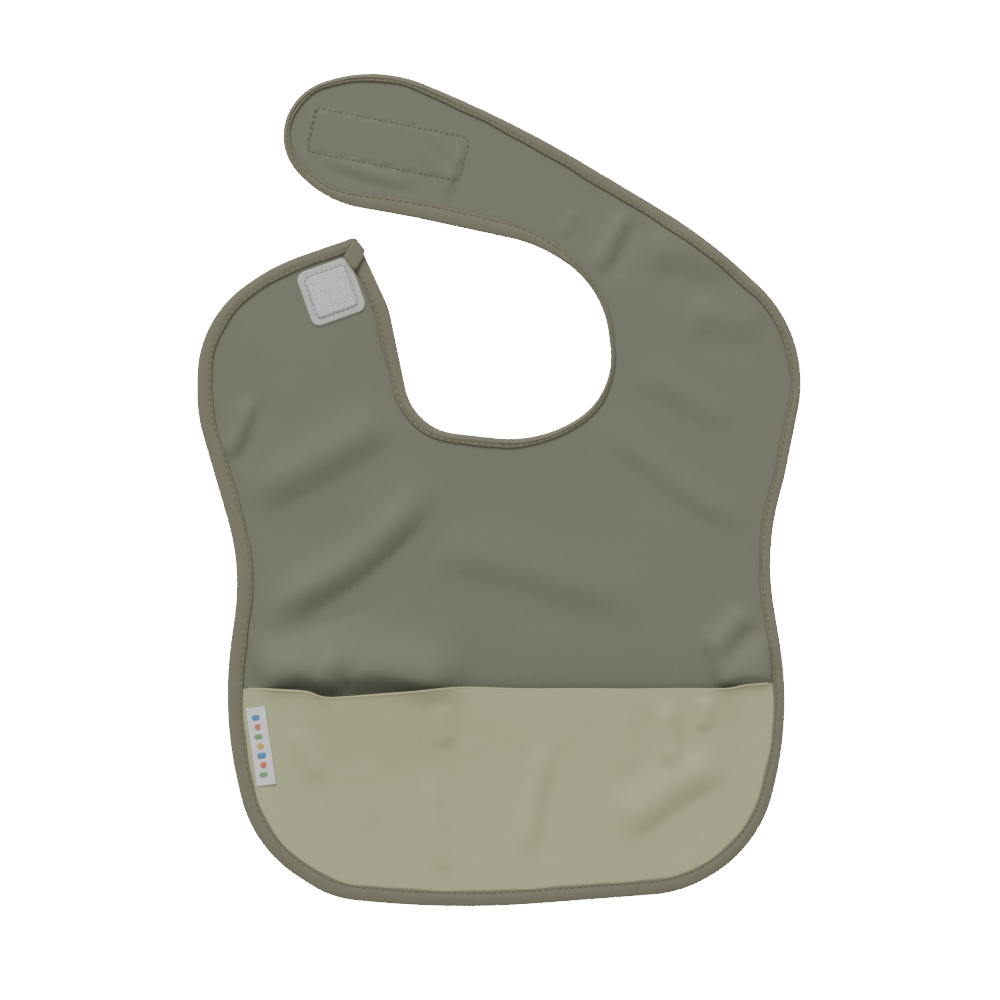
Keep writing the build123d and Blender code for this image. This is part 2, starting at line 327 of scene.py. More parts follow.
@dataclass
class Heap:
    """Many small closed shapes gathered into one mesh."""

    verts: list = field(default_factory=list)
    faces: list = field(default_factory=list)
    kinds: list = field(default_factory=list)
    count: int = 0

    def add(self, verts: Points, faces: list, kind: int = 0) -> None:
        """Put in one more shape, with the number of its material.

        Args:
            verts: its corners.
            faces: its faces.
            kind: the index of its material.
        """
        self.verts.append(np.asarray(verts, float))
        self.faces += [tuple(i + self.count for i in f) for f in faces]
        self.kinds += [kind] * len(faces)
        self.count += len(verts)

    def build(self, name: str, finishes: list) -> bpy.types.Object:
        """The mesh object of everything put in.

        Args:
            name: the piece's name.
            finishes: its materials.
        Returns:
            The object.
        """
        obj = piece(name, np.vstack(self.verts), self.faces, finishes)
        obj.data.polygons.foreach_set("material_index", np.array(self.kinds, np.int32))
        return obj


def ladder(rows: int, around: int) -> list:
    """Quads between rings of corners that follow each other.

    Args:
        rows: how many rings.
        around: corners in each ring.
    Returns:
        The quads.
    """
    faces = []
    for low in range(0, (rows - 1) * around, around):
        high = low + around
        for k in range(around):
            after = (k + 1) % around
            faces.append((low + k, low + after, high + after, high + k))
    return faces


def tube(rows: int, around: int) -> list:
    """Quads between rings of corners, and a face on the first and the last ring."""
    last = (rows - 1) * around
    return [*ladder(rows, around), tuple(range(around)), tuple(last + k for k in reversed(range(around)))]


def flipped(faces: list) -> list:
    """The same faces, turned over."""
    return [tuple(reversed(f)) for f in faces]


def thread(path: Points, radius: float, around: int = 6, flat: float = 1.0) -> tuple[Points, list]:
    """A closed round thread along a short path, tapered to its ends.

    Args:
        path: its centreline in space.
        radius: its radius.
        around: corners in its section.
        flat: its height as a share of its width.
    Returns:
        Corners and faces.
    """
    along = np.gradient(path, axis=0)
    along /= np.maximum(np.linalg.norm(along, axis=1, keepdims=True), 1e-9)
    up = np.array((0.0, 0.0, 1.0))
    side = np.cross(along, up)
    weak = np.linalg.norm(side, axis=1) < 0.2
    side[weak] = np.cross(along[weak], np.array((1.0, 0.0, 0.0)))
    side /= np.linalg.norm(side, axis=1, keepdims=True)
    top = np.cross(side, along)
    s = np.linspace(-1, 1, len(path))
    swell = np.sqrt(np.maximum(1 - s**6, 0.0)) * 0.72 + 0.28
    angles = np.linspace(0, 2 * math.pi, around, endpoint=False)
    rings = (
        path[:, None, :]
        + side[:, None, :] * (np.cos(angles)[None, :, None] * radius * swell[:, None, None])
        + top[:, None, :] * (np.sin(angles)[None, :, None] * radius * flat * swell[:, None, None])
    )
    return rings.reshape(-1, 3), flipped(tube(len(path), around))


def slab(
    outline: Points, levels: list[tuple[float, float]], ground: "Ground | None" = None
) -> tuple[Points, list]:
    """A closed plate with shaped edges.

    Args:
        outline: its plan, closed.
        levels: (distance drawn in, height) of each contour, from the bottom centre up and over.
        ground: what it lies on, which lifts it.
    Returns:
        Corners and faces.
    """
    if area_of(outline) > 0:
        outline = outline[::-1]
    normals = smooth(inward(outline), 2)
    normals /= np.linalg.norm(normals, axis=1, keepdims=True)
    count = len(outline)
    rings = []
    for draw, height in levels:
        flat = outline + normals * draw
        lift = ground.height(flat) if ground else np.zeros(count)
        rings.append(np.column_stack([flat, lift + height]))
    return np.vstack(rings), tube(len(levels), count)


@dataclass(frozen=True)
class Rect:
    """A rectangle with round corners, placed in the plane."""

    centre: tuple
    turn: float
    length: float
    width: float
    corner: float


def quilt(
    box: Rect,
    ground: "Ground",
    across: int,
    down: int,
    low: float,
    high: float,
    rim: float,
    lumps: float,
    seed: int,
) -> tuple[Points, list]:
    """A closed plate that follows the ground, with a soft rim and a lumpy top.

    Args:
        box: its plan.
        ground: what it lies on.
        across: corners along its length.
        down: corners along its width.
        low: height of its underside over the ground.
        high: height of its top over the ground.
        rim: how far in the top bends down at the edge.
        lumps: height of random lumps on the top.
        seed: chooses the lumps.
    Returns:
        Corners and faces.
    """
    rng = np.random.default_rng(seed)
    u, v = np.meshgrid(np.linspace(-1, 1, across), np.linspace(-1, 1, down))
    y = v * box.width / 2
    over = np.clip(np.abs(y) - (box.width / 2 - box.corner), 0, box.corner)
    reach = box.length / 2 - box.corner + np.sqrt(np.maximum(box.corner**2 - over**2, 0.04))
    x = u * reach
    flat = turned(np.column_stack([x.ravel(), y.ravel()]), box.turn, box.centre)
    to_edge = np.minimum(reach - np.abs(x), box.width / 2 - np.abs(y)).ravel()
    share = np.clip(to_edge / rim, 0, 1)
    soft = np.sqrt(share * (2 - share))
    base = ground.height(flat)
    top = base + low + (high - low) * (0.45 + 0.55 * soft) + rng.uniform(0, lumps, len(flat)) * soft
    verts = np.vstack([np.column_stack([flat, base + low]), np.column_stack([flat, top])])
    count = across * down
    faces = []
    for j in range(down - 1):
        for i in range(across - 1):
            a = j * across + i
            b = a + across
            faces += [(a, b, b + 1, a + 1), (a + count, a + 1 + count, b + 1 + count, b + count)]
    edge = list(range(across)) + [j * across + across - 1 for j in range(1, down)]
    edge += [(down - 1) * across + i for i in range(across - 2, -1, -1)]
    edge += [j * across for j in range(down - 2, 0, -1)]
    faces += [(a, b, b + count, a + count) for a, b in zip(edge, edge[1:] + edge[:1])]
    return verts, faces


# ---------------------------------------------------------------- how the cloth lies


CREASE_STEP = 6.0  # between the points of a crease's line
CREASE_FADE = 3.4  # a crease is whole past this part of its length, from either end
VALLEY_PLACE = 1.9  # the valley's distance from the ridge, in widths
VALLEY_WIDTH = 0.9


@dataclass(frozen=True)
class Crease:
    """A soft ridge in the cloth, with a valley on its right, or on its left where side is -1."""

    path: tuple
    height: float
    width: float
    valley: float = 0.35
    side: int = 1
    back: float = 1.0

    def lift(self, points: Points) -> Points:
        """Height that this crease adds at each point.

        Args:
            points: places in the plane, in mm.
        Returns:
            The heights, in mm.
        """
        away, share = distances(points, curve(list(self.path), CREASE_STEP))
        fade = ease(np.clip(np.minimum(share, 1 - share) * CREASE_FADE, 0, 1))
        off = -away * self.side
        spread = np.where(off < 0, self.width * self.back, self.width)
        ridge = np.exp(-((off / spread) ** 2) / 2)
        dip = np.exp(-(((off - VALLEY_PLACE * self.width) / (self.width * VALLEY_WIDTH)) ** 2) / 2)
        return self.height * fade * (ridge - self.valley * dip)


@dataclass(frozen=True)
class Press:
    """The mark that a box of stitching leaves in the cloth: a groove, and a stiff field inside."""

    centre: tuple
    turn: float
    length: float
    width: float
    groove: float = 0.22
    field: float = 0.25

    def lift(self, points: Points) -> Points:
        """Height that this mark adds at each point.

        Args:
            points: places in the plane, in mm.
        Returns:
            The heights, in mm.
        """
        a = math.radians(self.turn)
        off = points - np.array(self.centre)
        u = np.abs(off[:, 0] * math.cos(a) + off[:, 1] * math.sin(a)) - self.length / 2
        v = np.abs(-off[:, 0] * math.sin(a) + off[:, 1] * math.cos(a)) - self.width / 2
        away = np.where((u < 0) & (v < 0), np.maximum(u, v), np.hypot(np.maximum(u, 0), np.maximum(v, 0)))
        within = 1 / (1 + np.exp(away / 0.7))
        return self.field * within - self.groove * np.exp(-((away / 0.9) ** 2))


@dataclass
class Ground:
    """The height at which the back of the cloth lies over the table, everywhere."""

    creases: tuple
    presses: tuple = ()
    seed: int = 7
    swell: float = 0.55
    grid: float = 0.75
    settle: float = 0.4  # below this height the cloth runs out level
    pocket_y: float = -94.0
    calm: tuple = (-107.0, -113.0)
    calm_reach: tuple = (13.0, 27.0)

    def __post_init__(self) -> None:
        """Choose the slow waves of the cloth and note its height over a fine grid."""
        rng = np.random.default_rng(self.seed)
        self.waves = []
        for _ in range(16):
            angle, length = rng.uniform(0, math.pi), rng.uniform(45, 150)
            k = 2 * math.pi / length
            phase = rng.uniform(0, 6.28)
            self.waves.append((k * math.cos(angle), k * math.sin(angle), phase, length / 150))
        self.xs = np.arange(-140.0, 140.5, self.grid)
        self.ys = np.arange(-190.0, 190.5, self.grid)
        gx, gy = np.meshgrid(self.xs, self.ys)
        self.table = self.exact(np.column_stack([gx.ravel(), gy.ravel()])).reshape(gx.shape)

    def height(self, points: Points) -> Points:
        """Height of the cloth's back, read between the corners of a fine grid.

        Args:
            points: places in the plane, in mm.
        Returns:
            The heights, in mm.
        """
        points = np.asarray(points, float)
        u = np.clip((points[:, 0] - self.xs[0]) / self.grid, 0, len(self.xs) - 1.001)
        v = np.clip((points[:, 1] - self.ys[0]) / self.grid, 0, len(self.ys) - 1.001)
        i, j = u.astype(int), v.astype(int)
        u, v, t = u - i, v - j, self.table
        low = t[j, i] * (1 - u) + t[j, i + 1] * u
        high = t[j + 1, i] * (1 - u) + t[j + 1, i + 1] * u
        return low * (1 - v) + high * v

    def exact(self, points: Points) -> Points:
        """Height of the cloth's back over the table, in mm.

        Args:
            points: places in the plane, in mm.
        Returns:
            The heights, in mm.
        """
        total = np.zeros(len(points))
        for kx, ky, phase, weight in self.waves:
            total += weight * np.sin(kx * points[:, 0] + ky * points[:, 1] + phase)
        total = self.swell * (0.9 + total / 4.0)
        for crease in (*self.creases, *self.presses):
            total += crease.lift(points)
        # Flatter under the pocket, and nearly flat under the tag
        total *= 1 - 0.5 * np.clip((self.pocket_y - points[:, 1]) / 10, 0, 1)
        off = (points - np.array(self.calm)) / np.array(self.calm_reach)
        total *= 1 - 0.9 * np.exp(-(off**2).sum(1))
        # A soft floor, so that the cloth settles on the table and doesn't cut it
        return np.where(total > self.settle, total, self.settle * np.exp((total - self.settle) / self.settle))


@dataclass(frozen=True)
class Finish:
    """One material's look."""

    name: str
    color: tuple
    roughness: float
    sheen: float = 0.0
    weave: float = 0.0
    weave_scale: float = 900.0
    mottle: float = 0.0
    bias: float = 0.0
    coat: float = 0.0
    fuzz: float = 0.0

    def material(self) -> bpy.types.Material:
        """Build the material from the shared effects.

        Returns:
            The new material.
        """
        made = bpy.data.materials.new(self.name)
        made.use_nodes = True
        tree = made.node_tree
        color = (*self.color, 1)
        shader = tree.nodes["Principled BSDF"]
        looks = {
            "Base Color": color,
            "Roughness": self.roughness,
            "Sheen Weight": self.sheen,
            "Sheen Roughness": 0.4,
            "Sheen Tint": color,
            "Coat Weight": self.coat,
            "Specular IOR Level": 0.25,
        }
        for name, value in looks.items():
            shader.inputs[name].default_value = value
        if self.mottle:
            given = {"Color": color, "Amount": self.mottle, "Roughness": self.roughness}
            self.effect(tree, mottle_group(), given, {"Color": "Base Color", "Roughness": "Roughness"})
        if self.weave:
            turn = math.radians(self.bias)
            given = {"Scale": self.weave_scale, "Turn": turn, "Strength": self.weave, "Fuzz": self.fuzz}
            self.effect(tree, weave_group(), given, {"Normal": "Normal"})
        return made

    def effect(self, tree: bpy.types.NodeTree, group: bpy.types.NodeTree, given: dict, links: dict) -> None:
        """Put a shared effect in front of the shader.

        Args:
            tree: the material's nodes.
            group: the shared effect.
            given: a value for each of its inputs.
            links: which of the shader's inputs each of its outputs feeds.
        """
        node = tree.nodes.new("ShaderNodeGroup")
        node.node_tree = group
        for name, value in given.items():
            node.inputs[name].default_value = value
        for name, target in links.items():
            tree.links.new(node.outputs[name], tree.nodes["Principled BSDF"].inputs[target])


@dataclass
class Graph:
    """A shader node group under construction, with the outputs of its input node and its output node."""

    group: bpy.types.NodeTree
    given: bpy.types.NodeOutputs
    end: bpy.types.Node

    @classmethod
    def start(cls, name: str, inputs: dict[str, float | None], outputs: dict[str, str]) -> "Graph":
        """A new group.

        Args:
            name: the group's name.
            inputs: the default of each number that it takes, or None for a colour.
            outputs: the kind of each socket that it gives.
        Returns:
            The graph, with nothing between its ends.
        """
        group = bpy.data.node_groups.new(name, "ShaderNodeTree")
        for label, value in inputs.items():
            kind = "NodeSocketColor" if value is None else "NodeSocketFloat"
            socket = group.interface.new_socket(label, in_out="INPUT", socket_type=kind)
            if value is not None:
                socket.default_value = value
        for label, kind in outputs.items():
            group.interface.new_socket(label, in_out="OUTPUT", socket_type=kind)
        return cls(group, group.nodes.new("NodeGroupInput").outputs, group.nodes.new("NodeGroupOutput"))

    def add(self, kind: str, inputs: dict, **settings: object) -> bpy.types.Node:
        """A new node.

        Args:
            kind: its type, after "ShaderNode".
            inputs: for each input, a number or the output that feeds it.
            settings: the node's own settings.
        Returns:
            The node.
        """
        node = self.group.nodes.new("ShaderNode" + kind)
        for key, value in settings.items():
            setattr(node, key, value)
        self.feed(node, inputs)
        return node

    def feed(self, node: bpy.types.Node, inputs: dict) -> None:
        """Set or link a node's inputs.

        Args:
            node: the node to set.
            inputs: for each input, a number or the output that feeds it.
        """
        for key, value in inputs.items():
            if isinstance(value, bpy.types.NodeSocket):
                self.group.links.new(value, node.inputs[key])
            else:
                node.inputs[key].default_value = value

    def math(self, operation: str, first: object, second: object) -> bpy.types.NodeSocket:
        """The outcome of a sum or a product."""
        return self.add("Math", {0: first, 1: second}, operation=operation).outputs[0]


def mottle_group() -> bpy.types.NodeTree:
    """Slow changes of colour and roughness over a dyed cloth, built once.

    Returns:
        The group.
    """
    name = "Dye mottle"
    if name in bpy.data.node_groups:
        return bpy.data.node_groups[name]
    given = {"Color": None, "Amount": 0.1, "Roughness": 0.6}
    graph = Graph.start(name, given, {"Color": "NodeSocketColor", "Roughness": "NodeSocketFloat"})
    place = graph.add("TexCoord", {}).outputs["Object"]
    slow = graph.add("TexNoise", {"Vector": place, "Scale": 22.0, "Detail": 4.0})
    fine = graph.add("TexNoise", {"Vector": place, "Scale": 420.0, "Detail": 3.0})
    swing = graph.math("SUBTRACT", graph.math("ADD", slow.outputs["Fac"], fine.outputs["Fac"]), 1.0)
    amount = graph.math("MULTIPLY", swing, graph.given["Amount"])
    value = graph.math("ADD", amount, 1.0)
    shade = graph.add("HueSaturation", {"Color": graph.given["Color"], "Value": value})
    rough = graph.math("ADD", graph.given["Roughness"], amount)
    graph.feed(graph.end, {"Color": shade.outputs["Color"], "Roughness": rough})
    return graph.group


def weave_group() -> bpy.types.NodeTree:
    """Plain weave seen as a fine bump of crossing yarns, with some stray fuzz, built once.

    Returns:
        The group.
    """
    name = "Plain weave"
    if name in bpy.data.node_groups:
        return bpy.data.node_groups[name]
    given = {"Scale": 900.0, "Turn": 0.0, "Strength": 0.2, "Fuzz": 0.0}
    graph = Graph.start(name, given, {"Normal": "NodeSocketVector"})
    place = graph.add("TexCoord", {}).outputs["Object"]
    turn = graph.add("VectorRotate", {"Vector": place, "Angle": graph.given["Turn"]}, rotation_type="Z_AXIS")
    wave = {"Distortion": 0.6, "Detail": 1.0, "Vector": turn.outputs["Vector"], "Scale": graph.given["Scale"]}
    yarns = [graph.add("TexWave", wave, bands_direction=axis).outputs["Fac"] for axis in ("X", "Y")]
    stray = graph.add("TexNoise", {"Vector": place, "Scale": 2600.0, "Detail": 2.0})
    fuzz = graph.math("MULTIPLY", stray.outputs["Fac"], graph.given["Fuzz"])
    height = graph.math("ADD", graph.math("MULTIPLY", *yarns), fuzz)
    bump = graph.add("Bump", {"Distance": 0.00012, "Height": height, "Strength": graph.given["Strength"]})
    graph.feed(graph.end, {"Normal": bump.outputs["Normal"]})
    return graph.group


def srgb(r: float, g: float, b: float) -> tuple:
    """A linear colour from its usual 0 to 255 values."""
    shares = (r / 255, g / 255, b / 255)
    return tuple(c / 12.92 if c <= 0.04045 else ((c + 0.055) / 1.055) ** 2.4 for c in shares)


def thread_finish(name: str, color: tuple, roughness: float = 0.68) -> Finish:
    """A twisted sewing thread."""
    return Finish(name, color, roughness, sheen=0.15, weave=0.3, weave_scale=2400.0, bias=30.0)


def motif_finish(name: str, color: tuple) -> Finish:
    """A coloured yarn woven into the tag."""
    return Finish(name, color, 0.6, weave=0.4, weave_scale=1400.0)


BODY_CLOTH = Finish(
    "Body cloth", srgb(122, 125, 108), 0.62, sheen=0.10, weave=0.25, weave_scale=420.0, mottle=0.07
)
BACK_FILM = Finish("Back film", srgb(128, 129, 114), 0.34, weave=0.10, weave_scale=420.0, coat=0.15)
BINDING = Finish(
    "Binding tape",
    srgb(128, 125, 105),
    0.76,
    sheen=0.12,
    weave=0.45,
    weave_scale=520.0,
    bias=45.0,
    mottle=0.12,
)
POCKET_CLOTH = Finish(
    "Pocket cloth", srgb(188, 191, 149), 0.58, sheen=0.10, weave=0.22, weave_scale=420.0, mottle=0.06
)
POCKET_FILM = Finish("Pocket film", srgb(170, 169, 150), 0.36, coat=0.12, weave=0.1, weave_scale=420.0)
BODY_THREAD = thread_finish("Body thread", srgb(114, 111, 94))
BOX_THREAD = thread_finish("Closure thread", srgb(117, 119, 103))
PATCH_THREAD = thread_finish("Patch thread", srgb(150, 146, 158), 0.7)
LOOP_BASE = Finish(
    "Loop tape base", srgb(211, 211, 203), 0.8, sheen=0.2, weave=0.6, weave_scale=700.0, fuzz=0.6
)
LOOP_PILE = Finish("Loop pile", srgb(230, 233, 239), 0.85, sheen=0.2)
HOOK_TAPE = Finish("Hook tape", srgb(200, 200, 200), 0.45, weave=0.3, weave_scale=600.0)
LABEL_TAPE = Finish("Label tape", srgb(244, 244, 244), 0.55, sheen=0.15, weave=0.35, weave_scale=1400.0)
MOTIFS = (
    motif_finish("Motif blue", srgb(96, 150, 196)),
    motif_finish("Motif coral", srgb(222, 132, 104)),
    motif_finish("Motif green", srgb(130, 178, 120)),
    motif_finish("Motif yellow", srgb(228, 190, 96)),
)


@dataclass
class Pattern:
    """The bib's plan, taken from the frame, and its division into four lengths."""

    step: float = 0.8
    level: float = 0.01  # the underside is the part of the binding no higher than this
    cuts: tuple = (270.0, 12.0, 75.0, 144.0)
    widths: tuple = (
        (-94.2, 158.4, 3.0), (-75.0, 178.0, 3.0), (-56.8, 182.6, 3.4), (-10.0, 166.0, 4.6),
        (26.8, 143.0, 5.6), (88.4, 103.4, 5.6), (118.0, 80.0, 4.8), (132.4, 52.8, 4.5), (124.0, 10.0, 4.7),
        (117.0, -22.0, 4.9), (125.8, -110.0, 5.0), (112.0, -155.0, 6.2), (80.0, -178.0, 6.8),
        (18.0, -182.6, 7.0), (-74.4, -173.8, 7.2), (-108.0, -145.0, 7.0), (-117.5, -110.0, 6.8),
        (-114.0, -30.8, 7.2), (-122.0, 10.0, 7.2), (-132.5, 48.4, 6.6),
        (-120.0, 78.0, 5.8), (-100.8, 94.6, 5.5), (-64.0, 109.0, 5.5), (-58.0, 95.0, 6.4), (-50.2, 70.4, 6.7),
        (-38.0, 36.0, 5.0), (-20.0, 25.0, 4.4), (0.2, 22.0, 4.2), (30.0, 30.0, 3.2), (45.0, 48.0, 2.2),
        (49.7, 66.0, 1.9), (44.0, 90.0, 2.4), (31.0, 107.8, 4.0), (10.0, 118.0, 6.6), (-12.8, 122.0, 7.5),
        (-35.0, 124.0, 7.2), (-56.8, 125.4, 6.6), (-74.0, 131.0, 5.0), (-86.0, 142.0, 3.6),
    )

    def __post_init__(self) -> None:
        """Trace the edge of the bib on the frame's binding and prepare its measures."""
        names = [n for n in frame["nodes"] if n.endswith("_binding")]
        self.centre = np.array(joint("tab_fold")["pos_m"][:2]) / MM
        self.outline = self.trace(names)
        self.normals = smooth(inward(self.outline), 3)
        self.normals /= np.linalg.norm(self.normals, axis=1, keepdims=True)
        self.width = self.spread_widths()

    def rim(self, names: list[str]) -> dict:
        """Where the edges of the binding's underside lead.

        Args:
            names: the frame's binding nodes.
        Returns:
            For each corner of the underside's edges, the corners next to it.
        """
        edges: dict = {}
        for name in names:
            mesh = frame["nodes"][name].data
            co = np.zeros(len(mesh.vertices) * 3)
            mesh.vertices.foreach_get("co", co)
            co = co.reshape(-1, 3) / MM
            for face in mesh.polygons:
                ids = list(face.vertices)
                if max(abs(co[i][2]) for i in ids) > self.level:
                    continue
                for a, b in zip(ids, ids[1:] + ids[:1]):
                    key = tuple(sorted((tuple(np.round(co[a][:2], 3)), tuple(np.round(co[b][:2], 3)))))
                    edges[key] = edges.get(key, 0) + 1
        near: dict = {}
        for (a, b), count in edges.items():
            if count == 1:
                near.setdefault(a, []).append(b)
                near.setdefault(b, []).append(a)
        return near

    def trace(self, names: list[str]) -> Points:
        """The longest closed edge of the binding's underside, clockwise.

        Args:
            names: the frame's binding nodes.
        Returns:
            Evenly spaced points in mm.
        """
        near = self.rim(names)
        loops = []
        todo = set(near)
        while todo:
            here = start = todo.pop()
            loop = [start]
            before = None
            while True:
                onward = [p for p in near[here] if p != before and (p in todo or p == start)]
                if not onward or onward[0] == start and len(loop) > 2:
                    break
                before, here = here, onward[0]
                todo.discard(here)
                loop.append(here)
            loops.append(np.array(loop))
        longest = max(loops, key=lambda p: np.linalg.norm(p - np.roll(p, 1, 0), axis=1).sum())
        even = walk(longest, self.step, True)
        log.info("outline: %d loops, %.0f mm round, %d points", len(loops), len(even) * self.step, len(even))
        even = smooth(even, 3)
        return even[::-1].copy() if area_of(even) > 0 else even

    def spread_widths(self) -> Points:
        """The binding's visible width at each point of the outline.

        Returns:
            A width for each point.
        """
        at = sorted((int(np.argmin(np.hypot(*(self.outline - (x, y)).T))), w) for x, y, w in self.widths)
        count = len(self.outline)
        index = np.array([i for i, _ in at], float)
        value = np.array([w for _, w in at], float)
        index = np.concatenate([[index[-1] - count], index, [index[0] + count]])
        value = np.concatenate([[value[-1]], value, [value[0]]])
        return smooth(np.interp(np.arange(count), index, value), 200)

    def angle(self, points: Points) -> Points:
        """Direction of points from the middle of the neck hole, from 0 to 360."""
        off = points - self.centre
        return np.degrees(np.arctan2(off[:, 1], off[:, 0])) % 360

    def part(self, points: Points) -> Points:
        """Which of the four lengths each point belongs to, as an index into Part.

        Args:
            points: places in the plane, in mm.
        Returns:
            An index for each point.
        """
        angle = self.angle(points)
        below, shoulder, strap, parting = self.cuts
        return np.select(
            [(angle >= parting) & (angle < below), (angle >= below) | (angle < shoulder), angle < strap],
            [0, 1, 2],
            default=3,
        )

    def runs(self) -> list[tuple[Part, Points]]:
        """The stretches of the outline in each length, as runs of indices that share their ends.

        Returns:
            The length and the indices of each stretch.
        """
        kinds = self.part(self.outline)
        count = len(kinds)
        breaks = [i for i in range(count) if kinds[i] != kinds[i - 1]]
        found = []
        for a, b in zip(breaks, breaks[1:] + [breaks[0] + count]):
            found.append((list(Part)[kinds[a]], np.arange(a, b + 1) % count))
        return found


def upward(heights: Callable[[Points], Points], flat: Points) -> Points:
    """Normals of a surface above places in the plane.

    Args:
        heights: gives the surface's height at any places.
        flat: the places.
    Returns:
        Unit normals.
    """
    d = SLOPE_STEP
    gx = (heights(flat + (d, 0)) - heights(flat - (d, 0))) / (2 * d)
    gy = (heights(flat + (0, d)) - heights(flat - (0, d))) / (2 * d)
    up = np.column_stack([-gx, -gy, np.ones(len(flat))])
    return up / np.linalg.norm(up, axis=1, keepdims=True)


@dataclass
class Sheet:
    """A sheet of laminated cloth, made as a closed skin over a plan."""

    pattern: Pattern
    ground: Ground
    edge: float = 1.0
    spacing: float = 2.3
    thickness: float = 0.5
    base: float = 0.8

    def plan(self, outline: Points, spacing: float) -> tuple[Points, list]:
        """Triangles over an outline, with an even grid of corners inside it.

        Args:
            outline: the closed edge.
            spacing: distance between corners.
        Returns:
            Corners in the plane and triangles.
        """
        low, high = outline.min(0), outline.max(0)
        rows = np.arange(low[1], high[1], spacing * 0.866)
        grid = []
        for i, y in enumerate(rows):
            xs = np.arange(low[0] + (i % 2) * spacing / 2, high[0], spacing)
            grid.append(np.column_stack([xs, np.full(len(xs), y)]))
        grid = np.vstack(grid)
        grid = grid[inside(grid, outline)]
        from_edge = np.array([np.min(np.hypot(*(outline - p).T)) for p in grid])
        grid = grid[from_edge > spacing * 0.5]
        count = len(outline)
        corners = [Vector(p) for p in np.vstack([outline, grid]).tolist()]
        edges = [(i, (i + 1) % count) for i in range(count)]
        verts, _, faces, *_ = delaunay_2d_cdt(corners, edges, [], 1, 1e-5)
        return np.array([tuple(v) for v in verts]), [tuple(f) for f in faces]

    def skin(
        self, name: str, flat: Points, tris: list, heights: Points, normals: Points, finishes: list
    ) -> bpy.types.Object:
        """A closed skin of two faces and a rim.

        Args:
            name: the piece's name.
            flat: plan corners.
            tris: triangles of the plan that belong to this piece.
            heights: height of the underside at each corner.
            normals: upward normals at each corner.
            finishes: materials of the front and the back.
        Returns:
            The object.
        """
        used = sorted({i for t in tris for i in t})
        index = {v: k for k, v in enumerate(used)}
        count = len(used)
        low = np.column_stack([flat[used], heights[used]])
        high = low + np.array((0, 0, self.thickness))
        faces, kinds, sides = [], [], {}
        for tri in tris:
            a, b, c = (index[i] for i in tri)
            p, q, r = (flat[i] for i in tri)
            if (q[0] - p[0]) * (r[1] - p[1]) - (q[1] - p[1]) * (r[0] - p[0]) < 0:
                b, c = c, b
            faces += [(a + count, b + count, c + count), (a, c, b)]
            kinds += [0, 1]
            for u, v in ((a, b), (b, c), (c, a)):
                sides[(u, v)] = sides.get((u, v), 0) + 1
        for u, v in sides:
            if (v, u) not in sides:
                faces.append((u, v, v + count, u + count))
                kinds.append(0)
        up = normals[used]
        obj = piece(name, np.vstack([low, high]), faces, finishes, np.vstack([-up, up]))
        obj.data.polygons.foreach_set("material_index", np.array(kinds, np.int32))
        return obj

    def heights(self, flat: Points) -> Points:
        """Height of the underside at each corner of the plan."""
        return self.ground.exact(flat) + self.base

    def build(self, finishes: list) -> dict[Part, bpy.types.Object]:
        """The main sheet, in four lengths that meet without a seam.

        Args:
            finishes: materials of the front and the back.
        Returns:
            The object of each length.
        """
        outline = self.pattern.outline + self.pattern.normals * self.edge
        outline = walk(outline, 2.0, True)
        flat, tris = self.plan(outline, self.spacing)
        middles = np.array([flat[list(t)].mean(0) for t in tris])
        owner = self.pattern.part(middles)
        heights, normals = self.heights(flat), upward(self.heights, flat)
        made = {}
        for k, part in enumerate(Part):
            mine = [t for t, o in zip(tris, owner) if o == k]
            made[part] = self.skin(f"cloth_{part.value}", flat, mine, heights, normals, finishes)
            made[part]["area"] = float(sum(abs(area_of(flat[list(t)])) for t in mine))
            log.info("cloth %s: %d triangles", part.value, len(mine))
        return made


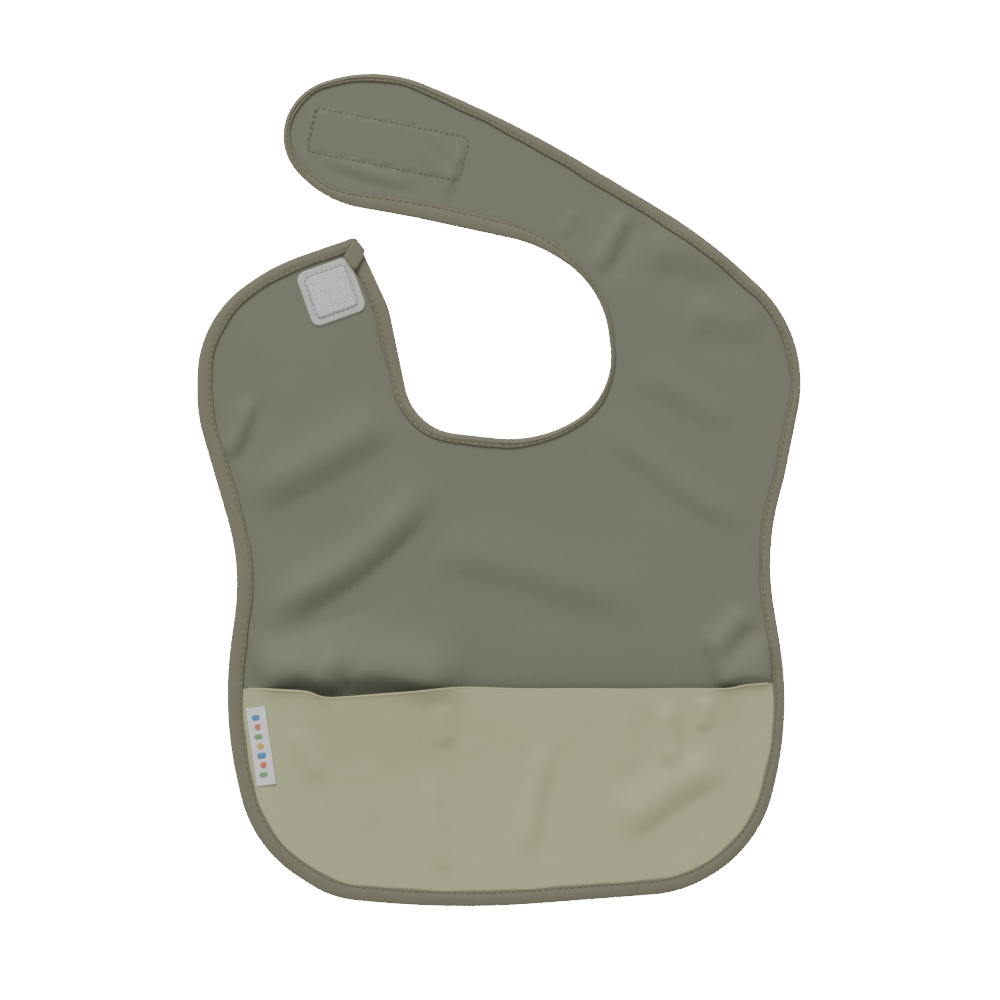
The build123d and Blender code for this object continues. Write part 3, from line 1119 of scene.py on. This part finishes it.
@dataclass
class Edging:
    """The bias binding: a folded tape that wraps the edge, puckered along its seam."""

    pattern: Pattern
    ground: Ground
    mouth_y: float
    thickness: float = 0.55
    top: float = 2.05
    pocket_extra: float = 0.5
    climb: float = 5.0
    back_width: float = 6.2
    seam_inset: float = 1.0
    pitch: float = 2.9

    def rise(self, y: Points) -> Points:
        """How much the binding stands up where it covers the pocket's edge too."""
        return self.pocket_extra * ease(np.clip((self.mouth_y + self.climb - y) / self.climb, 0, 1))

    def section(self, i: int, along: float) -> Points:
        """One section of the binding.

        Args:
            i: index of a point of the outline.
            along: distance along the outline, for the puckers.
        Returns:
            (distance in, height) of each corner, once round.
        """
        w = self.pattern.width[i]
        y = self.pattern.outline[i, 1]
        top = self.top + float(self.rise(np.array([y]))[0])
        wave = 0.10 * math.sin(along / 5.3) + 0.08 * math.sin(along / 2.9 + 1.7)
        wave += 0.06 * math.sin(along / 11.0 + 0.4)
        pull = 0.5 + 0.5 * math.cos(2 * math.pi * along / self.pitch)
        seam = w - self.seam_inset
        ripple = 0.16 * math.sin(along / 6.1 + 0.9) + 0.12 * math.sin(along / 3.3)
        back = min(self.back_width, w + 1.5)
        t = self.thickness
        full = 0.30 + 0.5 * wave
        radius = top / 2
        outer = [(back, 0.32), (back - 0.25, 0.08), (back * 0.6, 0.02), (radius, 0.0)]
        for a in np.radians((-65, -40, -15, 15, 40, 65)):
            outer.append((radius - radius * math.cos(a), radius + radius * math.sin(a)))
        outer += [
            (radius + 0.1, top + 0.10 * full),
            (w * 0.34 + 0.3, top + full * 0.8),
            (w * 0.55, top + full),
            (seam - 0.75, top + full * 0.55),
            (seam - 0.2, top - 0.12 * pull + 0.05),
            (seam + 0.25, top - 0.10 * pull + 0.08),
            (w - 0.45 + ripple * 0.5, top + 0.14 + 0.1 * wave),
            (w - 0.05 + ripple, top - 0.10),
            (w + ripple, top - t * 0.75),
        ]
        inner = [(w - 0.5 + ripple, top - t - 0.12), (w * 0.5, top - t - 0.02), (1.0, top - t)]
        inner += [(0.85, top / 2), (1.0, 0.62), (back * 0.6, 0.62), (back - 0.3, 0.6)]
        return np.array(outer + inner)

    def build(self, finish: bpy.types.Material) -> dict[Part, list[bpy.types.Object]]:
        """The binding in runs that meet at the same sections.

        Args:
            finish: the tape's material.
        Returns:
            The objects of each length.
        """
        made: dict = {part: [] for part in Part}
        step = self.pattern.step
        for part, run in self.pattern.runs():
            rows = []
            for i in run:
                flat = self.section(i, i * step)
                spot = self.pattern.outline[i] + self.pattern.normals[i] * flat[:, :1]
                rows.append(np.column_stack([spot, flat[:, 1] + self.ground.height(spot)]))
            name = f"binding_{part.value}_{len(made[part]) + 1}"
            obj = piece(name, np.vstack(rows), flipped(tube(len(rows), len(rows[0]))), [finish])
            sharpen(obj, 75)
            made[part].append(obj)
            log.info("%s: %d sections", name, len(rows))
        return made

    def seam(self, finish: bpy.types.Material) -> dict[Part, bpy.types.Object]:
        """The row of stitches along the binding, on its front and its back.

        Args:
            finish: the thread's material.
        Returns:
            One object for each length.
        """
        heaps = {part: Heap() for part in Part}
        outline, normals = self.pattern.outline, self.pattern.normals
        count, step = len(outline), self.pattern.step
        stitches = int(count * step / self.pitch)
        owner = self.pattern.part(outline)
        for k in range(stitches):
            share = np.linspace(k + 0.12, k + 0.88, 6) * self.pitch / step
            where = np.clip(share.astype(int), 0, count - 1)
            part = list(Part)[owner[where[3]]]
            t = (share - share.astype(int))[:, None]
            after = (where + 1) % count
            spot = outline[where] * (1 - t) + outline[after] * t
            aim = normals[where] * (1 - t) + normals[after] * t
            w = self.pattern.width[where] - self.seam_inset
            place = spot + aim * w[:, None]
            arc = np.sin(np.linspace(0, math.pi, 6))
            z = self.ground.height(place) + self.top + self.rise(place[:, 1]) - 0.10 + 0.17 * arc
            heaps[part].add(*thread(np.column_stack([place, z]), 0.2, 6, 0.8))
            under = spot + aim * np.minimum(self.back_width - 1.3, w[:, None])
            low = self.ground.height(under) + 0.14 - 0.12 * arc
            heaps[part].add(*thread(np.column_stack([under, low]), 0.2, 6, 0.6))
        return {part: heap.build(f"seam_{part.value}", [finish]) for part, heap in heaps.items()}


@dataclass
class Mitre:
    """The binding's turned-over end at the tip of the tab."""

    ground: Ground
    plan: tuple = (
        (-62.9, 110.7), (-58.7, 105.4), (-59.4, 102.1), (-62.8, 96.4), (-65.2, 97.9), (-68.2, 102.6),
    )
    base: float = 2.6
    thickness: float = 1.3

    def build(self, finish: bpy.types.Material) -> bpy.types.Object:
        """The small folded end, with a rounded edge.

        Args:
            finish: the tape's material.
        Returns:
            The object.
        """
        outline = smooth(walk(np.array(self.plan), 0.35, True), 1)
        t = self.thickness
        levels = [(0.5, 0.0), (0.1, 0.1), (0.0, t * 0.45), (0.1, t * 0.8), (0.35, t), (0.8, t + 0.1)]
        verts, faces = slab(outline, [(d, z + self.base) for d, z in levels], self.ground)
        obj = piece("binding_end_fold", verts, faces, [finish])
        sharpen(obj, 60)
        return obj


@dataclass
class Pocket:
    """The crumb catcher: one paler sheet with a rolled mouth, which stands off the bib."""

    pattern: Pattern
    ground: Ground
    base: float = 1.32
    thickness: float = 0.5
    spacing: float = 2.1
    edge: float = 1.3
    mouth: tuple = (
        (-111.3, -87.2), (-98.0, -87.4), (-84.1, -88.0), (-76.0, -90.4), (-65.1, -90.2), (-41.8, -88.4),
        (-20.3, -86.4), (8.3, -87.0), (45.0, -87.1), (78.3, -87.1), (99.2, -86.9), (108.2, -85.5),
        (119.8, -84.6),
    )
    bulges: tuple = (
        (-70.0, 30.0, 7.0), (-30.0, 26.0, 4.6), (15.0, 34.0, 4.2), (60.0, 30.0, 3.6), (97.0, 15.0, 3.4),
    )
    limp: float = 0.35  # how softly the folds run out into the cloth

    def lift(self, flat: Points) -> Points:
        """How far the pocket stands off the sheet behind it.

        Args:
            flat: places in the plane, in mm.
        Returns:
            The heights, in mm.
        """
        x, y = flat[:, 0], flat[:, 1]
        top = np.interp(x, [p[0] for p in self.mouth], [p[1] for p in self.mouth])
        down = np.clip(top - y, 0, None)
        rim = np.zeros(len(flat))
        for at, reach, height in self.bulges:
            rim += height * np.exp(-(((x - at) / reach) ** 2))
        sides = ease(np.interp(x, [-116, -106, -92, 92, 108, 121], [0, 0, 1, 1, 0.25, 0]))
        fall = np.exp(-((down / 30.0) ** 2)) * 0.8 + np.clip(1 - down / 88, 0, 1) * 0.2
        hem = np.clip((y + 176) / 22, 0, 1)
        return rim * sides * fall * hem

    def folds(self, flat: Points) -> Points:
        """Soft folds in the pocket's own cloth.

        Args:
            flat: places in the plane, in mm.
        Returns:
            The heights, in mm.
        """
        total = np.zeros(len(flat))
        for crease in POCKET_CREASES:
            total += crease.lift(flat)
        inner = np.clip((flat[:, 1] + 178) / 14, 0, 1)
        side = np.interp(flat[:, 0], [-114, -100, 104, 119], [0, 1, 1, 0])
        total = total * inner * side / self.limp
        kept = np.where(total > 20, total, np.log1p(np.exp(np.minimum(total, 20))))
        return self.limp * kept - 0.24 * (1 - inner * side)

    def heights(self, flat: Points) -> Points:
        """Height of the pocket's underside."""
        return self.ground.exact(flat) + self.base + self.lift(flat) + self.folds(flat)

    def build(self, finishes: list) -> bpy.types.Object:
        """The pocket, with its mouth rolled over.

        Args:
            finishes: materials of the front and the back.
        Returns:
            The object.
        """
        outline = self.pattern.outline + self.pattern.normals * self.edge
        mouth = curve(list(self.mouth), 1.0)
        line = np.interp(outline[:, 0], mouth[:, 0], mouth[:, 1])
        count = len(outline)
        low = outline[:, 1] < line
        start = next(i for i in range(count) if low[i] and not low[i - 1])
        run = [(start + k) % count for k in range(count) if low[(start + k) % count]]
        sides = outline[run]
        across = mouth[(mouth[:, 0] > sides[-1, 0] + 0.6) & (mouth[:, 0] < sides[0, 0] - 0.6)]
        plan = walk(np.vstack([sides, across]), 1.6, True)
        cutter = Sheet(self.pattern, self.ground, thickness=self.thickness)
        flat, tris = cutter.plan(plan, self.spacing)
        normals = upward(self.heights, flat)
        obj = cutter.skin("pocket_sheet", flat, tris, self.heights(flat), normals, finishes)
        obj["area"] = abs(area_of(plan))
        return obj

    def lip(self, finish: bpy.types.Material) -> bpy.types.Object:
        """The rolled fold along the mouth.

        Args:
            finish: the cloth's material.
        Returns:
            The object.
        """
        path = curve(list(self.mouth), 0.8)
        path = path[(path[:, 0] > -111.0) & (path[:, 0] < 119.0)]
        z = self.heights(path) + self.thickness / 2
        rows = []
        around = 10
        angles = np.linspace(0, 2 * math.pi, around, endpoint=False)
        along = np.gradient(path, axis=0)
        along /= np.linalg.norm(along, axis=1, keepdims=True)
        side = np.column_stack([-along[:, 1], along[:, 0]])
        for i, (spot, aim) in enumerate(zip(path, side)):
            wide = 0.5 + 0.06 * math.sin(i / 9.0)
            off = np.cos(angles) * wide
            up = np.sin(angles) * 0.31
            flat = spot + aim * (off[:, None] - 0.2)
            rows.append(np.column_stack([flat, z[i] + up]))
        return piece("pocket_lip", np.vstack(rows), tube(len(rows), around), [finish])


@dataclass
class LoopPatch:
    """The square of loop tape on the tab: a woven base, its pile and its stitches."""

    ground: Ground
    centre: tuple = (-73.6, 87.0)
    turn: float = 19.6
    size: float = 25.0
    corner: float = 4.0
    border: float = 3.5
    base: float = 1.3
    thickness: float = 0.7
    rows: int = 30

    def build(self, base: bpy.types.Material, pile: bpy.types.Material) -> list[bpy.types.Object]:
        """The woven base and the field of loops on it.

        Args:
            base: material of the woven base.
            pile: material of the loops.
        Returns:
            The base and the pile.
        """
        t = self.thickness
        whole = Rect(self.centre, self.turn, self.size, self.size, self.corner)
        verts, faces = quilt(whole, self.ground, 60, 60, self.base - 0.05, self.base + t, 0.45, 0.03, 2)
        tape = piece("loop_tape", verts, faces, [base])
        rng = np.random.default_rng(11)
        heap = Heap()
        inner = self.size - 2 * self.border
        middle = Rect(self.centre, self.turn, inner, inner, 1.2)
        top = self.base + t
        heap.add(*quilt(middle, self.ground, 56, 56, top - 0.15, top + 0.42, 0.8, 0.28, 3))
        arc = np.linspace(-0.35, math.pi + 0.35, 8)
        for i in range(self.rows):
            for j in range(self.rows):
                u = (i + 0.5 + rng.uniform(-0.45, 0.45)) / self.rows - 0.5
                v = (j + 0.5 + rng.uniform(-0.45, 0.45)) / self.rows - 0.5
                spot = turned(np.array([[u * inner, v * inner]]), self.turn, self.centre)[0]
                aim = rng.uniform(0, 2 * math.pi)
                lean = rng.uniform(-0.4, 0.4)
                r = rng.uniform(0.22, 0.42)
                x = spot[0] + np.cos(arc) * r * math.cos(aim) + np.sin(arc) * lean * r * math.sin(aim)
                y = spot[1] + np.cos(arc) * r * math.sin(aim) - np.sin(arc) * lean * r * math.cos(aim)
                ground = float(self.ground.height(spot[None])[0])
                z = ground + self.base + t + 0.4 + np.sin(arc) * r * rng.uniform(0.7, 1.1)
                heap.add(*thread(np.column_stack([x, y, z]), 0.1, 5))
        return [tape, heap.build("loop_pile", [pile])]


@dataclass
class StitchBox:
    """A box of separate stitches that holds a patch of tape."""

    ground: Ground
    name: str
    centre: tuple
    turn: float
    length: float
    width: float
    corner: float
    height: float
    pitch: float = 2.5
    radius: float = 0.2
    wander: float = 0.0
    double: bool = False
    step: float = 0.25

    def build(self, finish: bpy.types.Material) -> bpy.types.Object:
        """Stitches all round the box, and twice where the seam was locked.

        Args:
            finish: the thread's material.
        Returns:
            The object.
        """
        heap = Heap()
        line = rounded_box(self.length, self.width, self.corner, self.step)
        if self.wander:
            s = np.arange(len(line)) * self.step
            line = line + inward(line) * (np.sin(s / 13.0) + 0.6 * np.sin(s / 7.1 + 1))[:, None] * self.wander
        rounds = [line]
        if self.double:
            near = line[line[:, 0] < -self.length / 2 + 0.8]
            rounds.append(near[np.argsort(near[:, 1])] + (0.8, 0.4))
        for path in rounds:
            count = max(int(len(path) * self.step / self.pitch), 1)
            for k in range(count):
                at = np.linspace(k + 0.12, k + 0.86, 6) * len(path) / count
                spot = turned(path[np.clip(at.astype(int), 0, len(path) - 1)], self.turn, self.centre)
                z = self.ground.height(spot) + self.height + 0.16 * np.sin(np.linspace(0, math.pi, 6))
                heap.add(*thread(np.column_stack([spot, z]), self.radius, 6, 0.8))
        return heap.build(self.name, [finish])


@dataclass
class HookPatch:
    """The strip of hook tape under the strap's end."""

    ground: Ground
    centre: tuple
    turn: float = -11.6
    length: float = 75.0
    width: float = 25.0
    corner: float = 5.0

    def build(self, finish: bpy.types.Material) -> bpy.types.Object:
        """The base strip, with its hooks pointing down.

        Args:
            finish: the tape's material.
        Returns:
            The object.
        """
        heap = Heap()
        whole = Rect(self.centre, self.turn, self.length - 4, self.width - 4, self.corner)
        heap.add(*quilt(whole, self.ground, 90, 32, 0.42, 0.84, 0.3, 0.0, 1))
        rng = np.random.default_rng(5)
        for i in range(42):
            for j in range(13):
                u = (i - 20.5) * 1.55
                v = (j - 6.0) * 1.5
                spot = turned(np.array([[u, v]]), self.turn, self.centre)[0]
                z = float(self.ground.height(spot[None])[0])
                sway = rng.uniform(-0.04, 0.04)
                x = spot[0] + np.array((0, 0, 0.03, 0.2, 0.36, 0.4)) + sway
                y = np.full(6, spot[1]) + sway
                h = z + np.array((0.5, 0.3, 0.14, 0.08, 0.13, 0.24))
                heap.add(*thread(np.column_stack([x, y, h]), 0.09, 5))
        return heap.build("hook_tape_strip", [finish])


@dataclass
class Label:
    """The folded tag in the pocket's left seam, with a small generic pattern woven in colours."""

    pocket: Pocket
    top: tuple
    lean: float
    length: float = 34.4
    width: float = 8.5
    layer: float = 0.17
    inset: float = 0.75
    motifs: tuple = ((2.9, 1.7), (2.0, 1.9), (3.1, 1.4), (2.0, 1.9), (2.9, 1.7), (2.0, 1.9), (3.1, 1.4))

    def surface(self, flat: Points) -> Points:
        """Height of the cloth that the tag lies on."""
        return self.pocket.heights(flat) + self.pocket.thickness + 0.06

    def spot(self, u: Points, v: Points) -> Points:
        """Places on the tag: u across it from the seam, v down it.

        Args:
            u: distances from the seam.
            v: distances from the tag's top.
        Returns:
            The places, in mm.
        """
        a = math.radians(self.lean)
        x = self.top[0] + self.inset + u * math.cos(a) + v * math.sin(a)
        y = self.top[1] + u * math.sin(a) - v * math.cos(a)
        return np.column_stack([x, y])

    def build(self, finishes: list) -> bpy.types.Object:
        """Two layers that turn over at the outer edge, and the raised motifs.

        Args:
            finishes: materials of the tape and of each motif.
        Returns:
            The object.
        """
        heap = Heap()
        t = self.layer
        w = self.width
        rows = 24
        under = [(0.0, 0.0), (w * 0.3, 0.0), (w * 0.6, 0.0), (w - 0.2, 0.0), (w - 0.02, t * 0.5), (w, t)]
        over = [(w, 1.35 * t), (w - 0.02, 2.0 * t), (w - 0.2, 2.5 * t), (w * 0.6, 2.65 * t)]
        within = [(w * 0.3, 2.55 * t), (0.0, 2.45 * t), (0.0, 1.5 * t), (w * 0.5, 1.5 * t)]
        within += [(w - 0.45, 1.45 * t), (w - 0.45, 1.2 * t), (w * 0.5, 1.0 * t), (0.0, t)]
        s = np.array(under + over + within)
        around = len(s)
        verts = []
        for k in range(rows):
            v = np.full(around, self.length * k / (rows - 1))
            flat = self.spot(s[:, 0], v)
            curl = 0.3 * (s[:, 0] / w) ** 2 * (1 + 0.6 * math.sin(k / 3.0))
            verts.append(np.column_stack([flat, self.surface(flat) + s[:, 1] + curl]))
        heap.add(np.vstack(verts), tube(rows, around), 0)
        for k, (length, width) in enumerate(self.motifs):
            v = 4.6 + k * 4.2
            plan = rounded_box(length * 1.5, width * 1.5, min(length, width) * 0.72, 0.25)
            flat = self.spot(plan[:, 0] + w * 0.5, v + plan[:, 1])
            lift = self.surface(flat).mean() + 2.7 * t + 0.12
            levels = [(0.3, -0.12), (0.0, -0.12), (0.0, 0.04), (0.12, 0.09), (0.4, 0.11)]
            heap.add(*slab(flat, [(d, z + lift) for d, z in levels]), 1 + k % 4)
        obj = heap.build("label_fold", finishes)
        sharpen(obj, 50)
        return obj


BODY_CREASES = (
    Crease(
        ((-108.7, -61.6), (-86.7, -45.8), (-65.6, -33.4), (-50.2, -20.7), (-38.3, -7.5), (-28.6, 7.9)),
        3.4,
        6.2,
        0.5,
    ),
    Crease(((-114.0, -7.0), (-94.6, 4.4), (-77.0, 14.5), (-59.4, 25.1), (-45.3, 36.1)), 2.4, 7.0, 0.45),
    Crease(((-121.0, 12.3), (-115.7, 21.1), (-111.3, 32.1), (-109.1, 42.2)), 1.7, 3.0, 0.5),
    Crease(((-41.4, -26.4), (-8.4, -29.5), (26.8, -38.7), (70.8, -51.9)), 1.5, 7.5, 0.5),
    Crease(((43.6, 32.6), (66.4, 12.3), (86.2, -2.6), (114.8, -18.5)), 1.3, 5.0, 0.4),
    Crease(((58.5, 54.6), (79.6, 42.7), (104.3, 26.4)), 0.9, 5.0, 0.4),
    Crease(((90.2, -73.9), (100.8, -62.5), (111.3, -51.0)), 2.0, 4.0, 0.5),
    Crease(((42.2, 93.3), (49.7, 109.1), (57.2, 124.1)), 1.5, 3.2, 0.6),
    Crease(((28.2, 110.0), (31.2, 117.9), (34.8, 125.0)), 0.6, 3.0, 0.5),
    Crease(((59.8, 102.1), (79.6, 105.6), (104.3, 94.2)), 1.5, 6.5, 0.5),
    Crease(((79.6, 78.3), (99.4, 75.7), (119.2, 70.4)), 1.0, 6.0, 0.5),
    Crease(((-25.1, 126.7), (-18.9, 141.7), (-15.4, 154.0)), 0.9, 2.2, 0.6),
    Crease(((-36.5, 153.1), (-29.5, 144.3), (-22.4, 134.6)), 0.5, 2.0, 0.5, -1),
    Crease(((-80.5, 147.0), (-56.8, 139.0), (-33.0, 133.8)), 0.6, 2.2, 0.5),
    Crease(
        ((-110.0, -83.5), (-97.0, -80.5), (-86.0, -79.0), (-76.0, -82.0), (-66.0, -86.5)),
        6.6,
        5.2,
        0.0,
        back=1.8,
    ),
    Crease(
        ((-79.0, -84.5), (-63.0, -79.5), (-47.0, -79.5), (-31.0, -83.0), (-12.0, -87.0)),
        5.6,
        5.4,
        0.0,
        back=1.8,
    ),
    Crease(((92.0, -85.4), (106.0, -81.0), (123.6, -81.8)), 4.0, 3.0, 0.0, back=3.5),
)

HOOK_PRESS = Press((-49.9, 152.0), -11.6, 69.0, 19.5)

POCKET_CREASES = (
    Crease(((73.5, -90.6), (74.8, -105.6), (75.2, -124.1)), 2.4, 4.0, 0.5, -1),
    Crease(((91.5, -89.8), (90.6, -96.8), (89.3, -107.4)), 1.6, 2.8, 0.5, -1),
    Crease(((48.8, -152.2), (74.4, -132.0), (101.6, -116.2)), 3.4, 7.5, 0.5),
    Crease(((20.7, -105.6), (18.9, -121.0), (14.5, -144.3), (11.9, -166.3)), 2.0, 4.5, 0.6, -1),
    Crease(((-29.5, -119.7), (-27.7, -140.8), (-26.0, -158.4), (-20.7, -173.4)), 1.6, 4.0, 0.6, -1),
    Crease(((-25.1, -91.5), (-23.8, -102.1), (-22.4, -114.4)), 1.5, 4.0, 0.5, -1),
    Crease(((-91.1, -102.1), (-84.9, -114.4), (-76.1, -129.4)), 1.3, 4.0, 0.5, -1),
    Crease(((53.2, -94.6), (55.0, -110.0), (55.9, -127.6)), 0.9, 5.0, 0.5, -1),
    Crease(((-61.2, -114.4), (-56.8, -132.0), (-55.0, -151.8)), 0.9, 6.0, 0.5, -1),
)


@dataclass
class Studio:
    """The table, the lights and the camera."""

    height: float = 1.2222  # of the camera, in metres
    look_at: tuple = (0.00045, -0.0044)
    lens: float = 100.0
    reach: float = 3.0
    glow: float = 30.0  # of the table, to the camera alone
    room: float = 0.42

    def build(self) -> None:
        """Set the floor, soft lights mostly from the top of the bib, and the camera."""
        self.floor()
        self.lamp("key light", (-1.5, 4.3, 3.3), 2.9, 238.0)
        self.lamp("fill light", (1.7, -0.7, 2.2), 2.0, 9.0)
        world = bpy.data.worlds.new("Room")
        world.use_nodes = True
        background = world.node_tree.nodes["Background"]
        background.inputs["Color"].default_value = (1, 1, 1, 1)
        background.inputs["Strength"].default_value = self.room
        bpy.context.scene.world = world
        self.camera()

    def floor(self) -> None:
        """A plain white table, which the camera alone sees much brighter."""
        r = self.reach
        mesh = bpy.data.meshes.new("table")
        mesh.from_pydata([(-r, -r, 0), (r, -r, 0), (r, r, 0), (-r, r, 0)], [], [(0, 1, 2, 3)])
        table = bpy.data.objects.new("table", mesh)
        bpy.context.scene.collection.objects.link(table)
        white = bpy.data.materials.new("Table white")
        white.use_nodes = True
        tree = white.node_tree
        shader = tree.nodes["Principled BSDF"]
        shader.inputs["Base Color"].default_value = (0.9, 0.9, 0.9, 1)
        shader.inputs["Roughness"].default_value = 0.9
        shader.inputs["Emission Color"].default_value = (1, 1, 1, 1)
        eye = tree.nodes.new("ShaderNodeLightPath")
        glow = tree.nodes.new("ShaderNodeMapRange")
        glow.inputs["To Min"].default_value = 1.0
        glow.inputs["To Max"].default_value = self.glow
        tree.links.new(eye.outputs["Is Camera Ray"], glow.inputs["Value"])
        tree.links.new(glow.outputs["Result"], shader.inputs["Emission Strength"])
        mesh.materials.append(white)

    def camera(self) -> None:
        """A long lens straight above the bib, with everything in focus."""
        lens = bpy.data.cameras.new("camera")
        lens.lens = self.lens
        lens.sensor_width = 36.0
        lens.dof.use_dof = False
        camera = bpy.data.objects.new("camera", lens)
        camera.location = (*self.look_at, self.height)
        bpy.context.scene.collection.objects.link(camera)
        bpy.context.scene.camera = camera

    def lamp(self, name: str, place: tuple, size: float, power: float) -> None:
        """A square soft lamp that points at the middle of the bib.

        Args:
            name: its name.
            place: where it stands, in metres.
            size: its side, in metres.
            power: in watts.
        """
        data = bpy.data.lights.new(name, "AREA")
        data.size = size
        data.energy = power
        lamp = bpy.data.objects.new(name, data)
        lamp.location = place
        lamp.rotation_euler = (-Vector(place)).to_track_quat("-Z", "Y").to_euler()
        bpy.context.scene.collection.objects.link(lamp)


@dataclass
class Bib:
    """The whole bib: every piece and its finish, and the body that the binding's end, the closure and the tag
    ride on.
    """

    pattern: Pattern = field(default_factory=Pattern)
    ground: Ground = field(default_factory=lambda: Ground(BODY_CREASES, (HOOK_PRESS,)))
    mouth_y: float = -87.0

    def finish(self, kind: Finish) -> bpy.types.Material:
        """The material of a finish, built once."""
        return bpy.data.materials.get(kind.name) or kind.material()

    def build(self) -> None:
        """Build, dress and place every piece."""
        cloth = self.build_cloth()
        edging = self.build_edging()
        pocket = self.build_pocket()
        self.build_closure()
        self.build_label()
        self.declare(cloth, edging, pocket)

    def build_cloth(self) -> dict[Part, bpy.types.Object]:
        """The main sheet, which replaces the frame's five panels.

        Returns:
            The object of each length.
        """
        sheet = Sheet(self.pattern, self.ground)
        cloth = sheet.build([self.finish(BODY_CLOTH), self.finish(BACK_FILM)])
        nodes = {
            Part.LEFT: ("chest_panel", "tab_panel"),
            Part.RIGHT: ("shoulder_panel",),
            Part.STRAP: ("strap_panel",),
            Part.STRAP_END: ("strap_end_panel",),
        }
        for part, obj in cloth.items():
            FOLDS[part].apply(obj)
            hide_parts(*nodes[part])
        log.info("main sheet done")
        return cloth

    def build_edging(self) -> dict[Part, list[bpy.types.Object]]:
        """The binding with its seam, which replace the frame's binding and ridges of thread.

        Returns:
            The binding and seam objects of each length.
        """
        edging = Edging(self.pattern, self.ground, self.mouth_y)
        runs = edging.build(self.finish(BINDING))
        seams = edging.seam(self.finish(BODY_THREAD))
        stems = {
            Part.LEFT: ("chest_outer", "chest_neck", "tab"),
            Part.RIGHT: ("shoulder_outer", "shoulder_neck"),
            Part.STRAP: ("strap_outer", "strap_neck"),
            Part.STRAP_END: ("strap_end",),
        }
        made = {}
        for part in Part:
            for obj in runs[part]:
                FOLDS[part].apply(obj)
            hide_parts(*[f"{s}_binding" for s in stems[part]])
            FOLDS[part].apply(seams[part])
            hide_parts(*[f"{s}_binding_thread" for s in stems[part]])
            made[part] = [*runs[part], seams[part]]
        end = Mitre(self.ground).build(self.finish(BINDING))
        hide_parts("binding_end")
        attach(end, "tab")
        made[Part.LEFT].append(end)
        log.info("binding done")
        return made

    def build_pocket(self) -> tuple[bpy.types.Object, bpy.types.Object]:
        """The pocket, which replaces its margin and its front.

        Returns:
            The pocket and the roll along its mouth.
        """
        self.pocket = Pocket(self.pattern, self.ground)
        sheet = self.pocket.build([self.finish(POCKET_CLOTH), self.finish(POCKET_FILM)])
        lip = self.pocket.lip(self.finish(POCKET_CLOTH))
        for obj in (sheet, lip):
            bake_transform(obj)
        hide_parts("pocket_margin", "pocket_front")
        log.info("pocket done")
        return sheet, lip

    def build_closure(self) -> None:
        """The loop patch on the tab and the hook patch under the strap's end."""
        low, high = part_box("loop_patch")
        middle = (np.array(low) + np.array(high))[:2] / 2 / MM
        patch = LoopPatch(self.ground, centre=(float(middle[0]) + 1.0, float(middle[1]) + 0.1))
        tape, pile = patch.build(self.finish(LOOP_BASE), self.finish(LOOP_PILE))
        box = patch.size - 2 * 2.9
        size = (patch.turn, box, box, 2.4, 2.02, 2.2, 0.2)
        seam = StitchBox(self.ground, "loop_stitches", patch.centre, *size)
        stitches = seam.build(self.finish(PATCH_THREAD))
        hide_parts("loop_patch")
        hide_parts("loop_patch_thread")
        for obj, slot in ((tape, "loop_tape"), (pile, "loop_tape"), (stitches, "patch_thread")):
            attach(obj, "tab")
        low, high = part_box("hook_patch_thread")
        middle = (np.array(low) + np.array(high))[:2] / 2 / MM
        centre = (float(middle[0]), float(middle[1]))
        strip = HookPatch(self.ground, centre).build(self.finish(HOOK_TAPE))
        press = HOOK_PRESS
        size = (press.turn, press.length, press.width, 2.4, 1.34, 2.5, 0.19)
        seam = StitchBox(self.ground, "hook_stitches", centre, *size, wander=0.25, double=True)
        stitches = seam.build(self.finish(BOX_THREAD))
        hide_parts("hook_patch")
        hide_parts("hook_patch_thread")
        for obj, slot in ((strip, "hook_tape"), (stitches, "body_thread")):
            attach(obj, "strap_end")
        log.info("closure done")

    def build_label(self) -> None:
        """The tag, which replaces the frame's plain one."""
        hinge = joint("label_flip")
        top = (hinge["pos_m"][0] / MM, hinge["pos_m"][1] / MM)
        lean = math.degrees(math.atan2(hinge["axis"][0], -hinge["axis"][1]))
        tag = Label(self.pocket, top, lean).build([self.finish(kind) for kind in (LABEL_TAPE, *MOTIFS)])
        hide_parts("label_tag")
        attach(tag, "label")
        log.info("label done")

    def declare(self, cloth: dict, edging: dict, pocket: tuple) -> None:
        """Go over each sheet, what lies under it and what is sewn to it; nothing is recorded.

        Args:
            cloth: the sheet of each length.
            edging: what is sewn to each of them.
            pocket: the pocket and its roll.
        """
        sheet, lip = pocket
        rows = [(obj, "table", edging[part]) for part, obj in cloth.items()]
        for obj, under, extras in (*rows, (sheet, "cloth_left", [lip])):
            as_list(extras)


def main() -> None:
    """Build the bib and its studio, in order, and note the size of what was made."""
    logging.basicConfig(level=logging.INFO, format="%(name)s %(message)s")
    Bib().build()
    Studio().build()
    bpy.context.view_layer.update()


if __name__ == "__main__":
    main()
